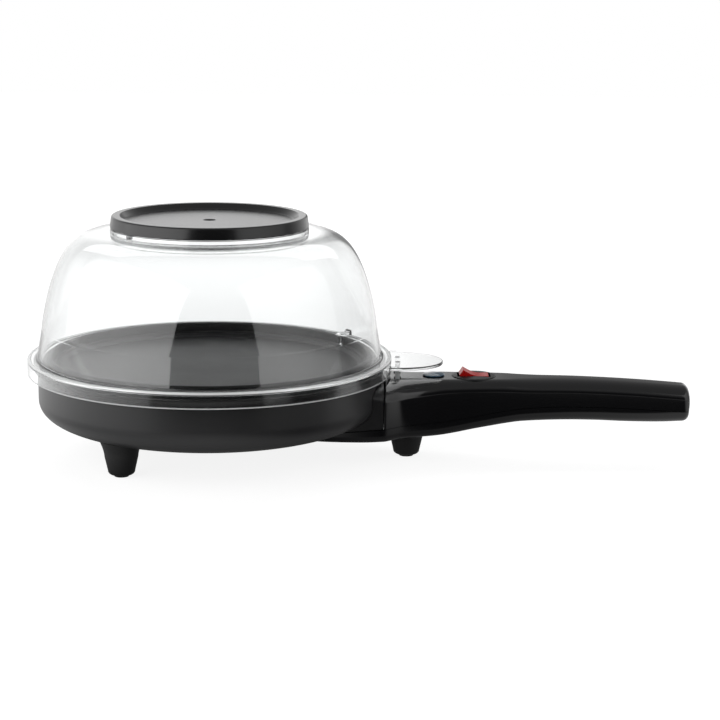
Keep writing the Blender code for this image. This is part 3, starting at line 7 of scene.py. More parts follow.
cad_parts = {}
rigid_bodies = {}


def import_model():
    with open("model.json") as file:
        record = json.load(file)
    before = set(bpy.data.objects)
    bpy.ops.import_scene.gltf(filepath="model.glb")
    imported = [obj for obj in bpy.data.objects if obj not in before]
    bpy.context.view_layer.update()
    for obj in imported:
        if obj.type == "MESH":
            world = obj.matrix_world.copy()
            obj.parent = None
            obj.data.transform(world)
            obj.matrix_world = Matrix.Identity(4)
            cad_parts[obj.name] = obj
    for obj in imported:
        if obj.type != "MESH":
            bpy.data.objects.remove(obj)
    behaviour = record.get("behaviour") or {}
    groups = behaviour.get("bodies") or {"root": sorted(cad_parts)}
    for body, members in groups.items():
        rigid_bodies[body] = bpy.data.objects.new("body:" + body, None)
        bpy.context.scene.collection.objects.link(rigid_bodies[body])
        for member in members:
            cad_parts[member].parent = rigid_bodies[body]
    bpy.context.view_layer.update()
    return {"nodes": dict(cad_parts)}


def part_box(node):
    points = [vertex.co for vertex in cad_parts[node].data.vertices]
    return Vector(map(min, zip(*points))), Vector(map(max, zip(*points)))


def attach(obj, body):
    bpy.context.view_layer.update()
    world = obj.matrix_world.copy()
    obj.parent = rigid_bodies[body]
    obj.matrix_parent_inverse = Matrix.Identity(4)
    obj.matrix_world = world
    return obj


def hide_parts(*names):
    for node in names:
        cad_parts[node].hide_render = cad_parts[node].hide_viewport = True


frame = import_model()
print("frame loaded:", len(frame["nodes"]), "nodes")

mm = 0.001
plateLow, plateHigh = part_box("cooking_plate")
panX = (plateLow.x + plateHigh.x) / 2  # the pan's own axis, all turned pieces stand on it
gap = 0.3  # clearance between moulded pieces, in mm
past = 2.0  # how far a cutting tool runs past what it cuts, in mm


# Small helpers

def srgb(hexText):
    # "#rrggbb" to the linear values that Blender's sockets take
    channels = []
    for start in (1, 3, 5):
        value = int(hexText[start:start + 2], 16) / 255
        channels.append(value / 12.92 if value <= 0.04045 else ((value + 0.055) / 1.055) ** 2.4)
    return (*channels, 1.0)


def addNode(tree, kind, inputs=None, **settings):
    # inputs: {name or number: socket to link or plain value}, settings: the node's properties or input values
    node = tree.nodes.new(kind)
    for key, value in settings.items():
        if hasattr(node, key):
            setattr(node, key, value)
        else:
            node.inputs[key.replace("_", " ")].default_value = value
    for key, value in (inputs or {}).items():
        if isinstance(value, bpy.types.NodeSocket):
            tree.links.new(value, node.inputs[key])
        else:
            node.inputs[key].default_value = value
    return node


def fadeInputs(socket, reach, levels=(0.0, 1.0)):
    # for a Map Range: from the first level to the second while the socket goes through its reach
    names = ("From Min", "From Max", "To Min", "To Max")
    return {"Value": socket, **dict(zip(names, (*reach, *levels)))}


def scaleFor(size):
    # a texture's scale from its pattern's size in mm
    return 1 / (size * mm)


def newMaterial(name):
    material = bpy.data.materials.new(name)
    material.use_nodes = True
    material.node_tree.nodes.clear()
    return material, material.node_tree


def finishMaterial(tree, shader, bump=None):
    if bump is not None:
        tree.links.new(bump, shader.inputs["Normal"])
    output = addNode(tree, "ShaderNodeOutputMaterial")
    tree.links.new(shader.outputs[0], output.inputs["Surface"])


def meshPiece(name, mesh, material, body="base", replaces=(), smooth=32):
    # the finished piece: its place is in its mesh, and it rides on a body
    if smooth:
        mesh.shade_smooth()
        mesh.set_sharp_from_angle(angle=math.radians(smooth))
        # large flat faces keep straight normals beside their rounded edges
        scratch = scratchObject(name + "_normals", mesh)
        scratch.modifiers.new("normals", "WEIGHTED_NORMAL").keep_sharp = True
        mesh = finishedMesh(scratch, name)
    piece = bpy.data.objects.new(name, mesh)
    bpy.context.collection.objects.link(piece)
    mesh.materials.clear()
    mesh.materials.append(material)
    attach(piece, body)
    if replaces:
        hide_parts(*replaces)
    return piece


def arcPoints(x, z, radius, start, end, steps):
    # points on an arc about (x, z), from one angle to another in degrees
    points = []
    for step in range(steps + 1):
        angle = math.radians(start + (end - start) * step / steps)
        points.append((x + radius * math.cos(angle), z + radius * math.sin(angle)))
    return points


def scratchObject(name, mesh):
    scratch = bpy.data.objects.new(name, mesh)
    bpy.context.collection.objects.link(scratch)
    return scratch


def finishedMesh(scratch, name):
    # what the scratch object's modifiers make of it, and the object is gone
    graph = bpy.context.evaluated_depsgraph_get()
    mesh = bpy.data.meshes.new_from_object(scratch.evaluated_get(graph))
    mesh.name = name
    bpy.data.objects.remove(scratch)
    return mesh


def cleanMesh(mesh, merge=0.000001):
    # merges doubles and turns the faces outwards
    bm = bmesh.new()
    bm.from_mesh(mesh)
    bmesh.ops.remove_doubles(bm, verts=bm.verts, dist=merge)
    bmesh.ops.dissolve_degenerate(bm, dist=merge, edges=bm.edges)
    bmesh.ops.recalc_face_normals(bm, faces=bm.faces)
    bm.to_mesh(mesh)
    bm.free()
    return mesh


def combined(name, mesh, others, operation):
    # joins, cuts or crops one mesh by several others at once
    target = scratchObject(name, mesh)
    tools = bpy.data.collections.new(name + "_tools")
    for number, other in enumerate(others):
        tools.objects.link(scratchObject("%s_tool_%d" % (name, number), other))
    modifier = target.modifiers.new("combine", "BOOLEAN")
    modifier.operation = operation
    modifier.solver = "EXACT"
    modifier.operand_type = "COLLECTION"
    modifier.collection = tools
    result = finishedMesh(target, name)
    for tool in list(tools.objects):
        bpy.data.objects.remove(tool)
    bpy.data.collections.remove(tools)
    return result


def turnAndMove(mesh, degrees, axis, x=0.0, z=0.0):
    # turns a mesh about the pan's centre on the table, then moves it, in mm
    mesh.transform(Matrix.Translation((-panX, 0, 0)))
    mesh.transform(Matrix.Rotation(math.radians(degrees), 4, axis))
    mesh.transform(Matrix.Translation((panX + x * mm, 0, z * mm)))
    return mesh


# Turned pieces come from one Geometry Nodes tree: a profile drawn in the XZ plane runs round the pan's axis

def makeTurnTree():
    tree = bpy.data.node_groups.new("turnedForm", "GeometryNodeTree")
    face = tree.interface
    face.new_socket("Profile", in_out="INPUT", socket_type="NodeSocketGeometry")
    face.new_socket("Segments", in_out="INPUT", socket_type="NodeSocketInt").default_value = 96
    face.new_socket("Material", in_out="INPUT", socket_type="NodeSocketMaterial")
    face.new_socket("Form", in_out="OUTPUT", socket_type="NodeSocketGeometry")
    given = addNode(tree, "NodeGroupInput")
    profile = given.outputs["Profile"]
    count = addNode(tree, "GeometryNodeAttributeDomainSize", {"Geometry": profile}).outputs["Point Count"]
    around = addNode(tree, "ShaderNodeMath", {0: given.outputs["Segments"], 1: 1}, operation="ADD")
    upward = addNode(tree, "ShaderNodeMath", {0: count, 1: 1}, operation="ADD")
    grid = addNode(
        tree, "GeometryNodeMeshGrid", {"Vertices X": around.outputs[0], "Vertices Y": upward.outputs[0]},
        Size_X=1.0, Size_Y=1.0,
    )
    place = addNode(tree, "GeometryNodeInputPosition").outputs[0]
    split = addNode(tree, "ShaderNodeSeparateXYZ", {0: place})
    # the grid's X goes once round, its Y follows the profile and comes back to its first point
    turn = addNode(tree, "ShaderNodeMath", {0: split.outputs["X"], 1: math.tau}, operation="MULTIPLY")
    halfUp = addNode(tree, "ShaderNodeMath", {0: split.outputs["Y"], 1: 0.5}, operation="ADD")
    along = addNode(tree, "ShaderNodeMath", {0: halfUp.outputs[0], 1: count}, operation="MULTIPLY")
    whole = addNode(tree, "ShaderNodeMath", {0: along.outputs[0]}, operation="ROUND")
    wrapped = addNode(tree, "ShaderNodeMath", {0: whole.outputs[0], 1: count}, operation="FLOORED_MODULO")
    sample = addNode(
        tree, "GeometryNodeSampleIndex", {"Geometry": profile, "Value": place, "Index": wrapped.outputs[0]},
        data_type="FLOAT_VECTOR",
    )
    drawn = addNode(tree, "ShaderNodeSeparateXYZ", {0: sample.outputs[0]})
    joined = addNode(tree, "ShaderNodeCombineXYZ", {"Z": drawn.outputs["Z"]})
    for key, operation in (("X", "COSINE"), ("Y", "SINE")):
        part = addNode(tree, "ShaderNodeMath", {0: turn.outputs[0]}, operation=operation)
        out = addNode(tree, "ShaderNodeMath", {0: drawn.outputs["X"], 1: part.outputs[0]}, operation="MULTIPLY")
        tree.links.new(out.outputs[0], joined.inputs[key])
    placed = addNode(
        tree, "GeometryNodeSetPosition", {"Geometry": grid.outputs["Mesh"], "Position": joined.outputs[0]}
    )
    welded = addNode(tree, "GeometryNodeMergeByDistance", {"Geometry": placed.outputs[0]}, Distance=0.000001)
    real = addNode(tree, "GeometryNodeRealizeInstances", {"Geometry": welded.outputs[0]})
    painted = addNode(
        tree, "GeometryNodeSetMaterial", {"Geometry": real.outputs[0], "Material": given.outputs["Material"]}
    )
    addNode(tree, "NodeGroupOutput", {"Form": painted.outputs[0]})
    return tree


turnTree = makeTurnTree()


def turnedMesh(name, profile, segments=96, centre=(0, 0), material=None):
    # profile: closed list of (radius, height) in mm, centre: (x, y) in mm from the pan's axis
    line = bpy.data.meshes.new(name + "_profile")
    line.from_pydata([(radius * mm, 0, height * mm) for radius, height in profile], [], [])
    scratch = scratchObject(name + "_profile", line)
    modifier = scratch.modifiers.new("turn", "NODES")
    sockets = {item.name: item.identifier for item in turnTree.interface.items_tree}
    modifier.node_group = turnTree
    modifier[sockets["Segments"]] = segments
    if material:
        modifier[sockets["Material"]] = material
    mesh = finishedMesh(scratch, name)
    mesh.transform(Matrix.Translation((panX + centre[0] * mm, centre[1] * mm, 0)))
    return cleanMesh(mesh)


def closedMesh(name, bm):
    bmesh.ops.recalc_face_normals(bm, faces=bm.faces)
    mesh = bpy.data.meshes.new(name)
    bm.to_mesh(mesh)
    bm.free()
    return mesh


def prism(name, outline, low, high, axis="Z"):
    # an outline in mm pulled along Z, or an (x, z) outline pulled along Y
    bm = bmesh.new()
    if axis == "Z":
        verts = [bm.verts.new((panX + x * mm, y * mm, low * mm)) for x, y in outline]
        shift = Vector((0, 0, (high - low) * mm))
    else:
        verts = [bm.verts.new((panX + x * mm, low * mm, z * mm)) for x, z in outline]
        shift = Vector((0, (high - low) * mm, 0))
    pulled = bmesh.ops.extrude_face_region(bm, geom=[bm.faces.new(verts)])
    moved = [item for item in pulled["geom"] if isinstance(item, bmesh.types.BMVert)]
    bmesh.ops.translate(bm, verts=moved, vec=shift)
    return closedMesh(name, bm)


def boxMesh(name, low, high):
    outline = [(low[0], low[1]), (high[0], low[1]), (high[0], high[1]), (low[0], high[1])]
    return prism(name, outline, low[2], high[2])


def rounded(mesh, width, segments=2, angle=30):
    # softens the sharp edges, as a mould does
    scratch = scratchObject("rounding", mesh)
    modifier = scratch.modifiers.new("round", "BEVEL")
    modifier.width = width * mm
    modifier.segments = segments
    modifier.limit_method = "ANGLE"
    modifier.angle_limit = math.radians(angle)
    return finishedMesh(scratch, mesh.name)


# Materials

# mm from the pan's axis and above the table where the clear plastic turns white and diffuse, a painted
# highlight for the bright edge lines, and how much of it does
paintedHighlightEdge = {"brim": (118.2, 119.0), "top": (66.6, 67.2), "lip": (58.6, 58.3), "share": 0.74}


def clearPlastic():
    # injection-moulded SAN, polished, with faint flow lines; at its brim, top and lip it loses transmission and
    # shows its white base colour, a painted highlight that the lamps light as bright lines
    material, tree = newMaterial("polishedClearSan")
    place = addNode(tree, "ShaderNodeTexCoord").outputs["Object"]
    flow = addNode(tree, "ShaderNodeTexNoise", {"Vector": place}, Scale=scaleFor(71.43), Detail=2.0)
    bump = addNode(tree, "ShaderNodeBump", {"Height": flow.outputs["Fac"]}, Strength=0.02, Distance=0.0004)
    gloss = addNode(tree, "ShaderNodeMapRange", fadeInputs(flow.outputs["Fac"], (0, 1), (0.01, 0.035)))
    centred = addNode(tree, "ShaderNodeVectorMath", {0: place, 1: (panX, 0, 0)}, operation="SUBTRACT")
    height = addNode(tree, "ShaderNodeSeparateXYZ", {0: centred.outputs[0]}).outputs["Z"]
    flat = addNode(tree, "ShaderNodeVectorMath", {0: centred.outputs[0], 1: (1, 1, 0)}, operation="MULTIPLY")
    radius = addNode(tree, "ShaderNodeVectorMath", {0: flat.outputs[0]}, operation="LENGTH").outputs["Value"]
    highlightBands = []
    for socket, key in ((radius, "brim"), (height, "top"), (height, "lip")):
        reach = [edge * mm for edge in paintedHighlightEdge[key]]
        highlightBands.append(addNode(tree, "ShaderNodeMapRange", fadeInputs(socket, reach)).outputs[0])
    brim = addNode(tree, "ShaderNodeMath", {0: highlightBands[0], 1: highlightBands[1]}, operation="MULTIPLY")
    edges = addNode(tree, "ShaderNodeMath", {0: brim.outputs[0], 1: highlightBands[2]}, operation="MAXIMUM")
    # painted highlight: where the bands lie the plastic is white and diffuse instead of clear
    clear = addNode(
        tree, "ShaderNodeMapRange", fadeInputs(edges.outputs[0], (0, 1), (1.0, 1.0 - paintedHighlightEdge["share"]))
    )
    shader = addNode(
        tree, "ShaderNodeBsdfPrincipled",
        {"Base Color": srgb("#fafbfb"), "Roughness": gloss.outputs[0], "Transmission Weight": clear.outputs[0]},
        IOR=1.49,
    )
    finishMaterial(tree, shader, bump.outputs[0])
    return material


def unevenShader(tree, toneFrom, colours, glossFrom, gloss, **settings):
    # colour and roughness each wander between two values, with a texture
    tone = addNode(
        tree, "ShaderNodeMix", {"Factor": toneFrom, "A": srgb(colours[0]), "B": srgb(colours[1])},
        data_type="RGBA",
    )
    rough = addNode(tree, "ShaderNodeMapRange", fadeInputs(glossFrom, (0, 1), gloss))
    return addNode(
        tree, "ShaderNodeBsdfPrincipled", {"Base Color": tone.outputs["Result"], "Roughness": rough.outputs[0]},
        **settings,
    )


def mouldedPlastic(name, colours, roughness, grain, grainDepth):
    # moulded plastic: even colour, a fine spark-eroded grain of a size in mm and slightly uneven gloss
    material, tree = newMaterial(name)
    place = addNode(tree, "ShaderNodeTexCoord").outputs["Object"]
    cloud = addNode(tree, "ShaderNodeTexNoise", {"Vector": place}, Scale=scaleFor(45.455), Detail=3.0)
    fine = addNode(tree, "ShaderNodeTexNoise", {"Vector": place}, Scale=scaleFor(grain), Detail=2.0)
    bump = addNode(
        tree, "ShaderNodeBump", {"Height": fine.outputs["Fac"]}, Strength=grainDepth, Distance=0.0001
    )
    shader = unevenShader(
        tree, cloud.outputs["Fac"], colours, cloud.outputs["Fac"], (roughness * 0.88, roughness * 1.12), IOR=1.5
    )
    finishMaterial(tree, shader, bump.outputs[0])
    return material


def nonstickCoat():
    # sprayed PTFE on cast aluminium: dark grey, satin, with fine flecks about 1 mm apart
    material, tree = newMaterial("sprayedPtfeCoat")
    place = addNode(tree, "ShaderNodeTexCoord").outputs["Object"]
    cells = addNode(tree, "ShaderNodeTexVoronoi", {"Vector": place}, Scale=scaleFor(1.1111))
    flecks = cells.outputs["Distance"]
    cloud = addNode(tree, "ShaderNodeTexNoise", {"Vector": place}, Scale=scaleFor(33.333), Detail=4.0)
    bump = addNode(tree, "ShaderNodeBump", {"Height": flecks}, Strength=0.06, Distance=0.0001)
    shader = unevenShader(tree, flecks, ("#1d1d1e", "#171718"), cloud.outputs["Fac"], (0.4, 0.5), IOR=1.35)
    finishMaterial(tree, shader, bump.outputs[0])
    return material


def tintedLens(name, colours, transmission, roughness, specular=0.5):
    # translucent moulded polycarbonate over a small lamp: even colour with faint clouds
    material, tree = newMaterial(name)
    place = addNode(tree, "ShaderNodeTexCoord").outputs["Object"]
    cloud = addNode(tree, "ShaderNodeTexNoise", {"Vector": place}, Scale=scaleFor(6.25), Detail=2.0)
    tone = addNode(
        tree, "ShaderNodeMix",
        {"Factor": cloud.outputs["Fac"], "A": srgb(colours[0]), "B": srgb(colours[1])}, data_type="RGBA",
    )
    shader = addNode(
        tree, "ShaderNodeBsdfPrincipled", {"Base Color": tone.outputs["Result"]}, IOR=1.58, Roughness=roughness,
        Transmission_Weight=transmission, Specular_IOR_Level=specular,
    )
    finishMaterial(tree, shader)
    return material


def workedMetal(name, colours, roughness, stretch):
    # drawn or rolled metal: fine lines, 2.5 mm wide before the stretch, along the way it was worked
    material, tree = newMaterial(name)
    place = addNode(tree, "ShaderNodeTexCoord").outputs["Object"]
    turned = addNode(tree, "ShaderNodeMapping", {"Vector": place, "Scale": stretch})
    lines = addNode(
        tree, "ShaderNodeTexNoise", {"Vector": turned.outputs[0]}, Scale=scaleFor(2.5), Detail=3.0
    ).outputs["Fac"]
    shader = unevenShader(tree, lines, colours, lines, (roughness * 0.8, roughness * 1.2), Metallic=1.0)
    finishMaterial(tree, shader)
    return material


clearSan = clearPlastic()
glossBlack = mouldedPlastic("glossyBlackAbs", ("#060607", "#080809"), 0.12, 0.9, 0.02)
satinBlack = mouldedPlastic("satinBlackPhenolic", ("#1a1a1b", "#1e1e1f"), 0.34, 0.6, 0.05)
mattBlack = mouldedPlastic("mattBlackPhenolic", ("#070708", "#0a0a0b"), 0.45, 0.5, 0.1)
capBlack = mouldedPlastic("sparkErodedPolypropylene", ("#09090a", "#0c0c0d"), 0.22, 0.45, 0.05)
rubberBlack = mouldedPlastic("blackSilicone", ("#141414", "#1b1b1b"), 0.8, 0.5, 0.2)
redLens = tintedLens("redPolycarbonate", ("#a80503", "#b20806"), 0.15, 0.3, 0.2)
blueLens = tintedLens("bluePolycarbonate", ("#2c4d63", "#34586f"), 0.35, 0.15)
neonGlass = tintedLens("neonBulbGlass", ("#e8d9c8", "#f2e6da"), 0.85, 0.04)
nonstick = nonstickCoat()
zincSteel = workedMetal("zincPlatedSteel", ("#b9babc", "#c6c7c9"), 0.32, (1, 1, 6))
sheetAluminium = workedMetal("rolledAluminiumSheet", ("#c9cacc", "#d6d7d9"), 0.36, (8, 1, 1))
sheathSteel = workedMetal("annealedElementSteel", ("#6d6964", "#7d7872"), 0.45, (1, 1, 1))
glazedCeramic = mouldedPlastic("glazedSteatite", ("#dcd6c8", "#e6e1d5"), 0.45, 0.5, 0.05)
wireSleeves = {
    "brown": mouldedPlastic("brownPvcSleeve", ("#5a3320", "#643a26"), 0.42, 0.6, 0.05),
    "blue": mouldedPlastic("bluePvcSleeve", ("#1d4f9c", "#2357a6"), 0.42, 0.6, 0.05),
    "green": mouldedPlastic("greenPvcSleeve", ("#5b9a2c", "#65a634"), 0.42, 0.6, 0.05),
}
print("materials ready")

# the CAD nodes that stay as they are get a better material; screws, other wires and the rest are found by name
cadFinishes = {
    "element_pin_live": glazedCeramic, "element_pin_neutral": glazedCeramic, "terminal_block": glazedCeramic,
    "thermostat": glazedCeramic, "thermal_fuse": glazedCeramic, "heating_element": sheathSteel,
    "heat_shield": sheetAluminium, "element_clamp": sheetAluminium, "neon_lamp": neonGlass,
    "switch_body": mattBlack, "wire_neutral": wireSleeves["blue"], "wire_lamp_neutral": wireSleeves["blue"],
    "wire_earth": wireSleeves["green"],
}
for nodeName, node in frame["nodes"].items():
    fallback = zincSteel if "screw" in nodeName else satinBlack
    if nodeName.startswith("wire_"):
        fallback = wireSleeves["brown"]
    finish = cadFinishes.get(nodeName, fallback)
    for index in range(len(node.data.materials)):
        node.data.materials[index] = finish
    if not node.data.materials:
        node.data.materials.append(finish)


# Bowl housing

bowl = {
    "radius": 113.6, "wall": 2.2, "cornerHeight": 41.6, "floorRadius": 51.0, "bottom": 19.5, "power": 2.39,
    "flangeRadius": 116.4, "flangeTop": 65.7, "flangeThickness": 2.6, "flare": 5.2, "innerRing": 105.7,
    "edge": 0.5, "steps": 26, "segments": 160,
}


def bowlCorner(offset):
    # the bowl's outside from wall to floor, a superellipse, moved outwards by the offset
    width = bowl["radius"] - bowl["floorRadius"] + offset
    height = bowl["cornerHeight"] - bowl["bottom"] + offset
    points = []
    for step in range(bowl["steps"] + 1):
        angle = math.pi / 2 * step / bowl["steps"]
        across = max(math.cos(angle), 0) ** (2 / bowl["power"])
        down = max(math.sin(angle), 0) ** (2 / bowl["power"])
        points.append((bowl["floorRadius"] + width * across, bowl["cornerHeight"] - height * down))
    return points


def bowlHeight(radius):
    # how high the bowl's outside is over a radius beyond its flat floor
    share = (radius - bowl["floorRadius"]) / (bowl["radius"] - bowl["floorRadius"])
    down = (1 - share ** bowl["power"]) ** (1 / bowl["power"])
    return bowl["cornerHeight"] - (bowl["cornerHeight"] - bowl["bottom"]) * down


def makeBowl():
    under = bowl["flangeTop"] - bowl["flangeThickness"]
    edge = bowl["edge"]
    profile = [(bowl["innerRing"], bowl["flangeTop"])]
    profile += arcPoints(bowl["flangeRadius"] - edge, bowl["flangeTop"] - edge, edge, 90, 0, 3)
    profile += arcPoints(bowl["flangeRadius"] - edge, under + edge, edge, 0, -90, 3)
    flareX = bowl["radius"] + bowl["flare"]
    profile += arcPoints(flareX, under - bowl["flare"], bowl["flare"], 120, 180, 8)
    profile += bowlCorner(0)
    profile += [(0, bowl["bottom"]), (0, bowl["bottom"] + bowl["wall"])]
    profile += list(reversed(bowlCorner(-bowl["wall"])))
    profile += [(bowl["radius"] - bowl["wall"], under), (bowl["innerRing"], under)]
    mesh = turnedMesh("bowl", profile, bowl["segments"], material=satinBlack)
    return meshPiece("panBowl", mesh, satinBlack, replaces=["bowl_housing"])


makeBowl()
print("bowl made")


# Cooking plate

plate = {
    "radius": 99.0, "top": 60.0, "thickness": 3.0, "stepRadius": 102.2, "stepHeight": 3.2, "rimRadius": 107.6,
    "rimTop": 69.5, "rimWidth": 2.2, "wall": 1.8, "rimBottom": 66.0, "rimRound": 1.8, "cove": 4.0,
    "stepRound": 1.0, "wallCove": 0.8, "segments": 160,
}


def makePlate():
    wallOut = plate["rimRadius"] - plate["rimWidth"]
    wallIn = wallOut - plate["wall"]
    stepTop = plate["top"] + plate["stepHeight"]
    under = plate["top"] - plate["thickness"]
    cove, stepRound, wallCove, rimRound = (plate[key] for key in ("cove", "stepRound", "wallCove", "rimRound"))
    profile = [(0, plate["top"])]
    # the flat's coved edge, the step's shoulder, the foot of the wall and the rolled rim
    profile += arcPoints(plate["radius"] - 1.5, plate["top"] + cove, cove, 270, 300, 5)
    profile += [(plate["stepRadius"] - 0.5, stepTop - stepRound)]
    profile += arcPoints(plate["stepRadius"] + 0.6, stepTop - 0.7, stepRound, 160, 90, 4)
    profile += arcPoints(wallIn - 0.3, stepTop + 1.1, wallCove, 270, 345, 4)
    profile += arcPoints(plate["rimRadius"] - rimRound, plate["rimTop"] - rimRound, rimRound, 160, 0, 12)
    profile += [(plate["rimRadius"], plate["rimBottom"]), (wallOut, plate["rimBottom"])]
    profile += [(wallOut, stepTop - 0.9), (plate["radius"] + plate["wall"], under), (0, under)]
    mesh = turnedMesh("plate", profile, plate["segments"], material=nonstick)
    return meshPiece("nonstickPlate", mesh, nonstick, replaces=["cooking_plate"])


makePlate()
print("plate made")


# Dome

dome = {
    "brimRadius": 120.4, "brimTop": 68.0, "brimThickness": 2.0, "skirtBottom": 57.6, "skirtWall": 2.0,
    "edge": 1.2, "wall": 2.2, "footRadius": 113.9, "waistRadius": 110.7, "waistHeight": 87.6,
    "crownRadius": 61.7, "crownHeight": 150.9, "sidePower": 3.79, "topPower": 1.2,
    "collarRadius": 65.2, "collarWall": 2.2, "collarTop": 153.3, "collarBottom": 145.6,
    "lip": 0.9, "footRound": 1.2, "soft": 0.5, "steps": 34, "segments": 192,
}
tab = {
    "top": 65.2, "thickness": 2.2, "reach": 34.3, "halfWidth": 26.8, "roundness": 0.8, "steps": 60,
    "round": 0.7, "stepHeight": 0.8, "stepReach": 6.0, "prongX": 124.4, "prongLength": 3.0, "prongWidth": 6.0,
    "prongSpacing": 16.0, "prongBottom": 52.8, "sink": 0.8, "arcSteps": 160,
}


def domeWall(offset):
    # the dome's wall from its waist up to the collar, a superellipse, moved inwards by the offset
    width = dome["waistRadius"] - dome["crownRadius"] - offset
    height = dome["crownHeight"] - dome["waistHeight"] - offset
    meet = math.acos(((dome["collarRadius"] - dome["crownRadius"]) / width) ** (dome["sidePower"] / 2))
    points = [(dome["waistRadius"] - offset, dome["waistHeight"])]
    for step in range(1, dome["steps"] + 1):
        angle = meet * step / dome["steps"]
        across = math.cos(angle) ** (2 / dome["sidePower"])
        up = math.sin(angle) ** (2 / dome["topPower"])
        points.append((dome["crownRadius"] + width * across, dome["waistHeight"] + height * up))
    return points


def domeProfile():
    brim, low, edge, lip = dome["brimRadius"], dome["skirtBottom"], dome["edge"], dome["lip"]
    under = dome["brimTop"] - dome["brimThickness"]
    inner = brim - dome["skirtWall"]
    profile = arcPoints(brim - lip, low + lip, lip, 270, 360, 3)
    profile += arcPoints(brim - edge, dome["brimTop"] - edge, edge, 0, 90, 6)
    foot = dome["footRound"]
    profile += arcPoints(dome["footRadius"] + foot, dome["brimTop"] + foot, foot, 270, 188, 6)
    profile += domeWall(0)
    # round the collar, which stands in the dome's mouth
    soft = dome["soft"]
    collarOut, collarIn = dome["collarRadius"] - soft, dome["collarRadius"] - dome["collarWall"] + soft
    collarHigh, collarLow = dome["collarTop"] - soft, dome["collarBottom"] + soft
    for x, z, start in (
        (collarOut, collarHigh, 0), (collarIn, collarHigh, 90), (collarIn, collarLow, 180),
        (collarOut, collarLow, 270),
    ):
        profile += arcPoints(x, z, soft, start, start + 90, 3)
    profile += list(reversed(domeWall(dome["wall"])))
    profile += [(dome["footRadius"] - dome["wall"] - 0.2, dome["brimTop"] + 0.6)]
    profile += [(dome["footRadius"] - dome["wall"], under)]
    profile += arcPoints(inner - soft, under - soft, soft, 90, 0, 3)
    profile += arcPoints(inner + soft, low + soft, soft, 180, 270, 3)
    return profile


def makeTab():
    # an oval blade with a raised step at its root, both cut off round inside the skirt, and two prongs below
    brim, low, high = dome["brimRadius"], dome["skirtBottom"] - past, dome["brimTop"] + past
    inner = brim - dome["skirtWall"]
    root = inner + tab["sink"]
    tip = brim + tab["reach"]
    outline = []
    for step in range(tab["steps"] + 1):
        angle = math.radians(-90 + 180 * step / tab["steps"])
        along = max(math.cos(angle), 0) ** tab["roundness"]
        outline.append((root + (tip - root) * along, tab["halfWidth"] * math.sin(angle)))
    inside = arcPoints(0, 0, inner + 1.0, 0, 360, tab["arcSteps"])[:-1]
    bottom = tab["top"] - tab["thickness"]
    blade = rounded(prism("tab", outline, bottom, tab["top"]), tab["round"], 3)
    blade = combined("tab", blade, [prism("bore", inside, low, high)], "DIFFERENCE")
    narrow = [(x, y * (1 - tab["stepHeight"] / tab["halfWidth"])) for x, y in outline]
    raised = prism("raised", narrow, tab["top"] - tab["sink"], tab["top"] + tab["stepHeight"])
    edgeLine = arcPoints(0, 0, brim + tab["stepReach"], 0, 360, tab["arcSteps"])[:-1]
    raised = combined("raised", raised, [prism("edge", edgeLine, low + past, high)], "INTERSECT")
    raised = combined("raised", raised, [prism("stepBore", inside, low, high)], "DIFFERENCE")
    parts = [blade, raised]
    halfLength, halfWidth = tab["prongLength"] / 2, tab["prongWidth"] / 2
    for y in (-tab["prongSpacing"] / 2, tab["prongSpacing"] / 2):
        parts.append(boxMesh(
            "prong", (tab["prongX"] - halfLength, y - halfWidth, tab["prongBottom"]),
            (tab["prongX"] + halfLength, y + halfWidth, bottom + tab["sink"]),
        ))
    return parts


lug = {"angle": 33.0, "width": 6.0, "thickness": 1.8, "clearance": 0.8, "drop": 6.2}


def makeLug():
    # the hook that reaches over the plate's rim
    thick = lug["thickness"]
    low = plate["rimTop"] + lug["clearance"]
    high = low + thick
    foot = plate["rimRadius"] - plate["rimWidth"] - plate["wall"] - lug["clearance"]
    slope = (dome["footRadius"] - dome["waistRadius"]) / (dome["waistHeight"] - dome["brimTop"])
    wall = dome["footRadius"] - dome["wall"] / 2 - slope * (high - dome["brimTop"])
    outline = [
        (foot - thick, low - lug["drop"]), (foot, low - lug["drop"]), (foot, low), (wall, low),
        (wall, high + thick), (wall - thick, high + thick), (wall - 2 * thick, high),
        (foot - thick / 2, high), (foot - thick, high - thick / 2),
    ]
    return turnAndMove(prism("lug", outline, -lug["width"] / 2, lug["width"] / 2, axis="Y"), lug["angle"], "Z")


def makeDome():
    body = turnedMesh("dome", domeProfile(), dome["segments"], material=clearSan)
    blade, raised, *prongs = makeTab()
    mesh = combined("dome", body, [blade, raised, makeLug(), *prongs], "UNION")
    return meshPiece("clearDome", mesh, clearSan, body="lid", replaces=["dome_lid"])


makeDome()
print("dome made")


# Cap

cap = {
    "rimRadius": 65.2, "rimTop": 161.4, "rimWidth": 6.0, "round": 1.6, "floorRadius": 55.6, "floorTop": 157.9,
    "floorThickness": 2.5, "hole": 3.9, "rimBottom": 153.6, "skirt": 4.2, "soft": 0.5, "edge": 0.8,
    "coveRound": 2.0, "lipRound": 0.9, "taper": 0.7,
    "lugAngle": 219.0, "lugLength": 3.2, "lugWidth": 3.6, "lugDepth": 2.2, "segments": 160,
}


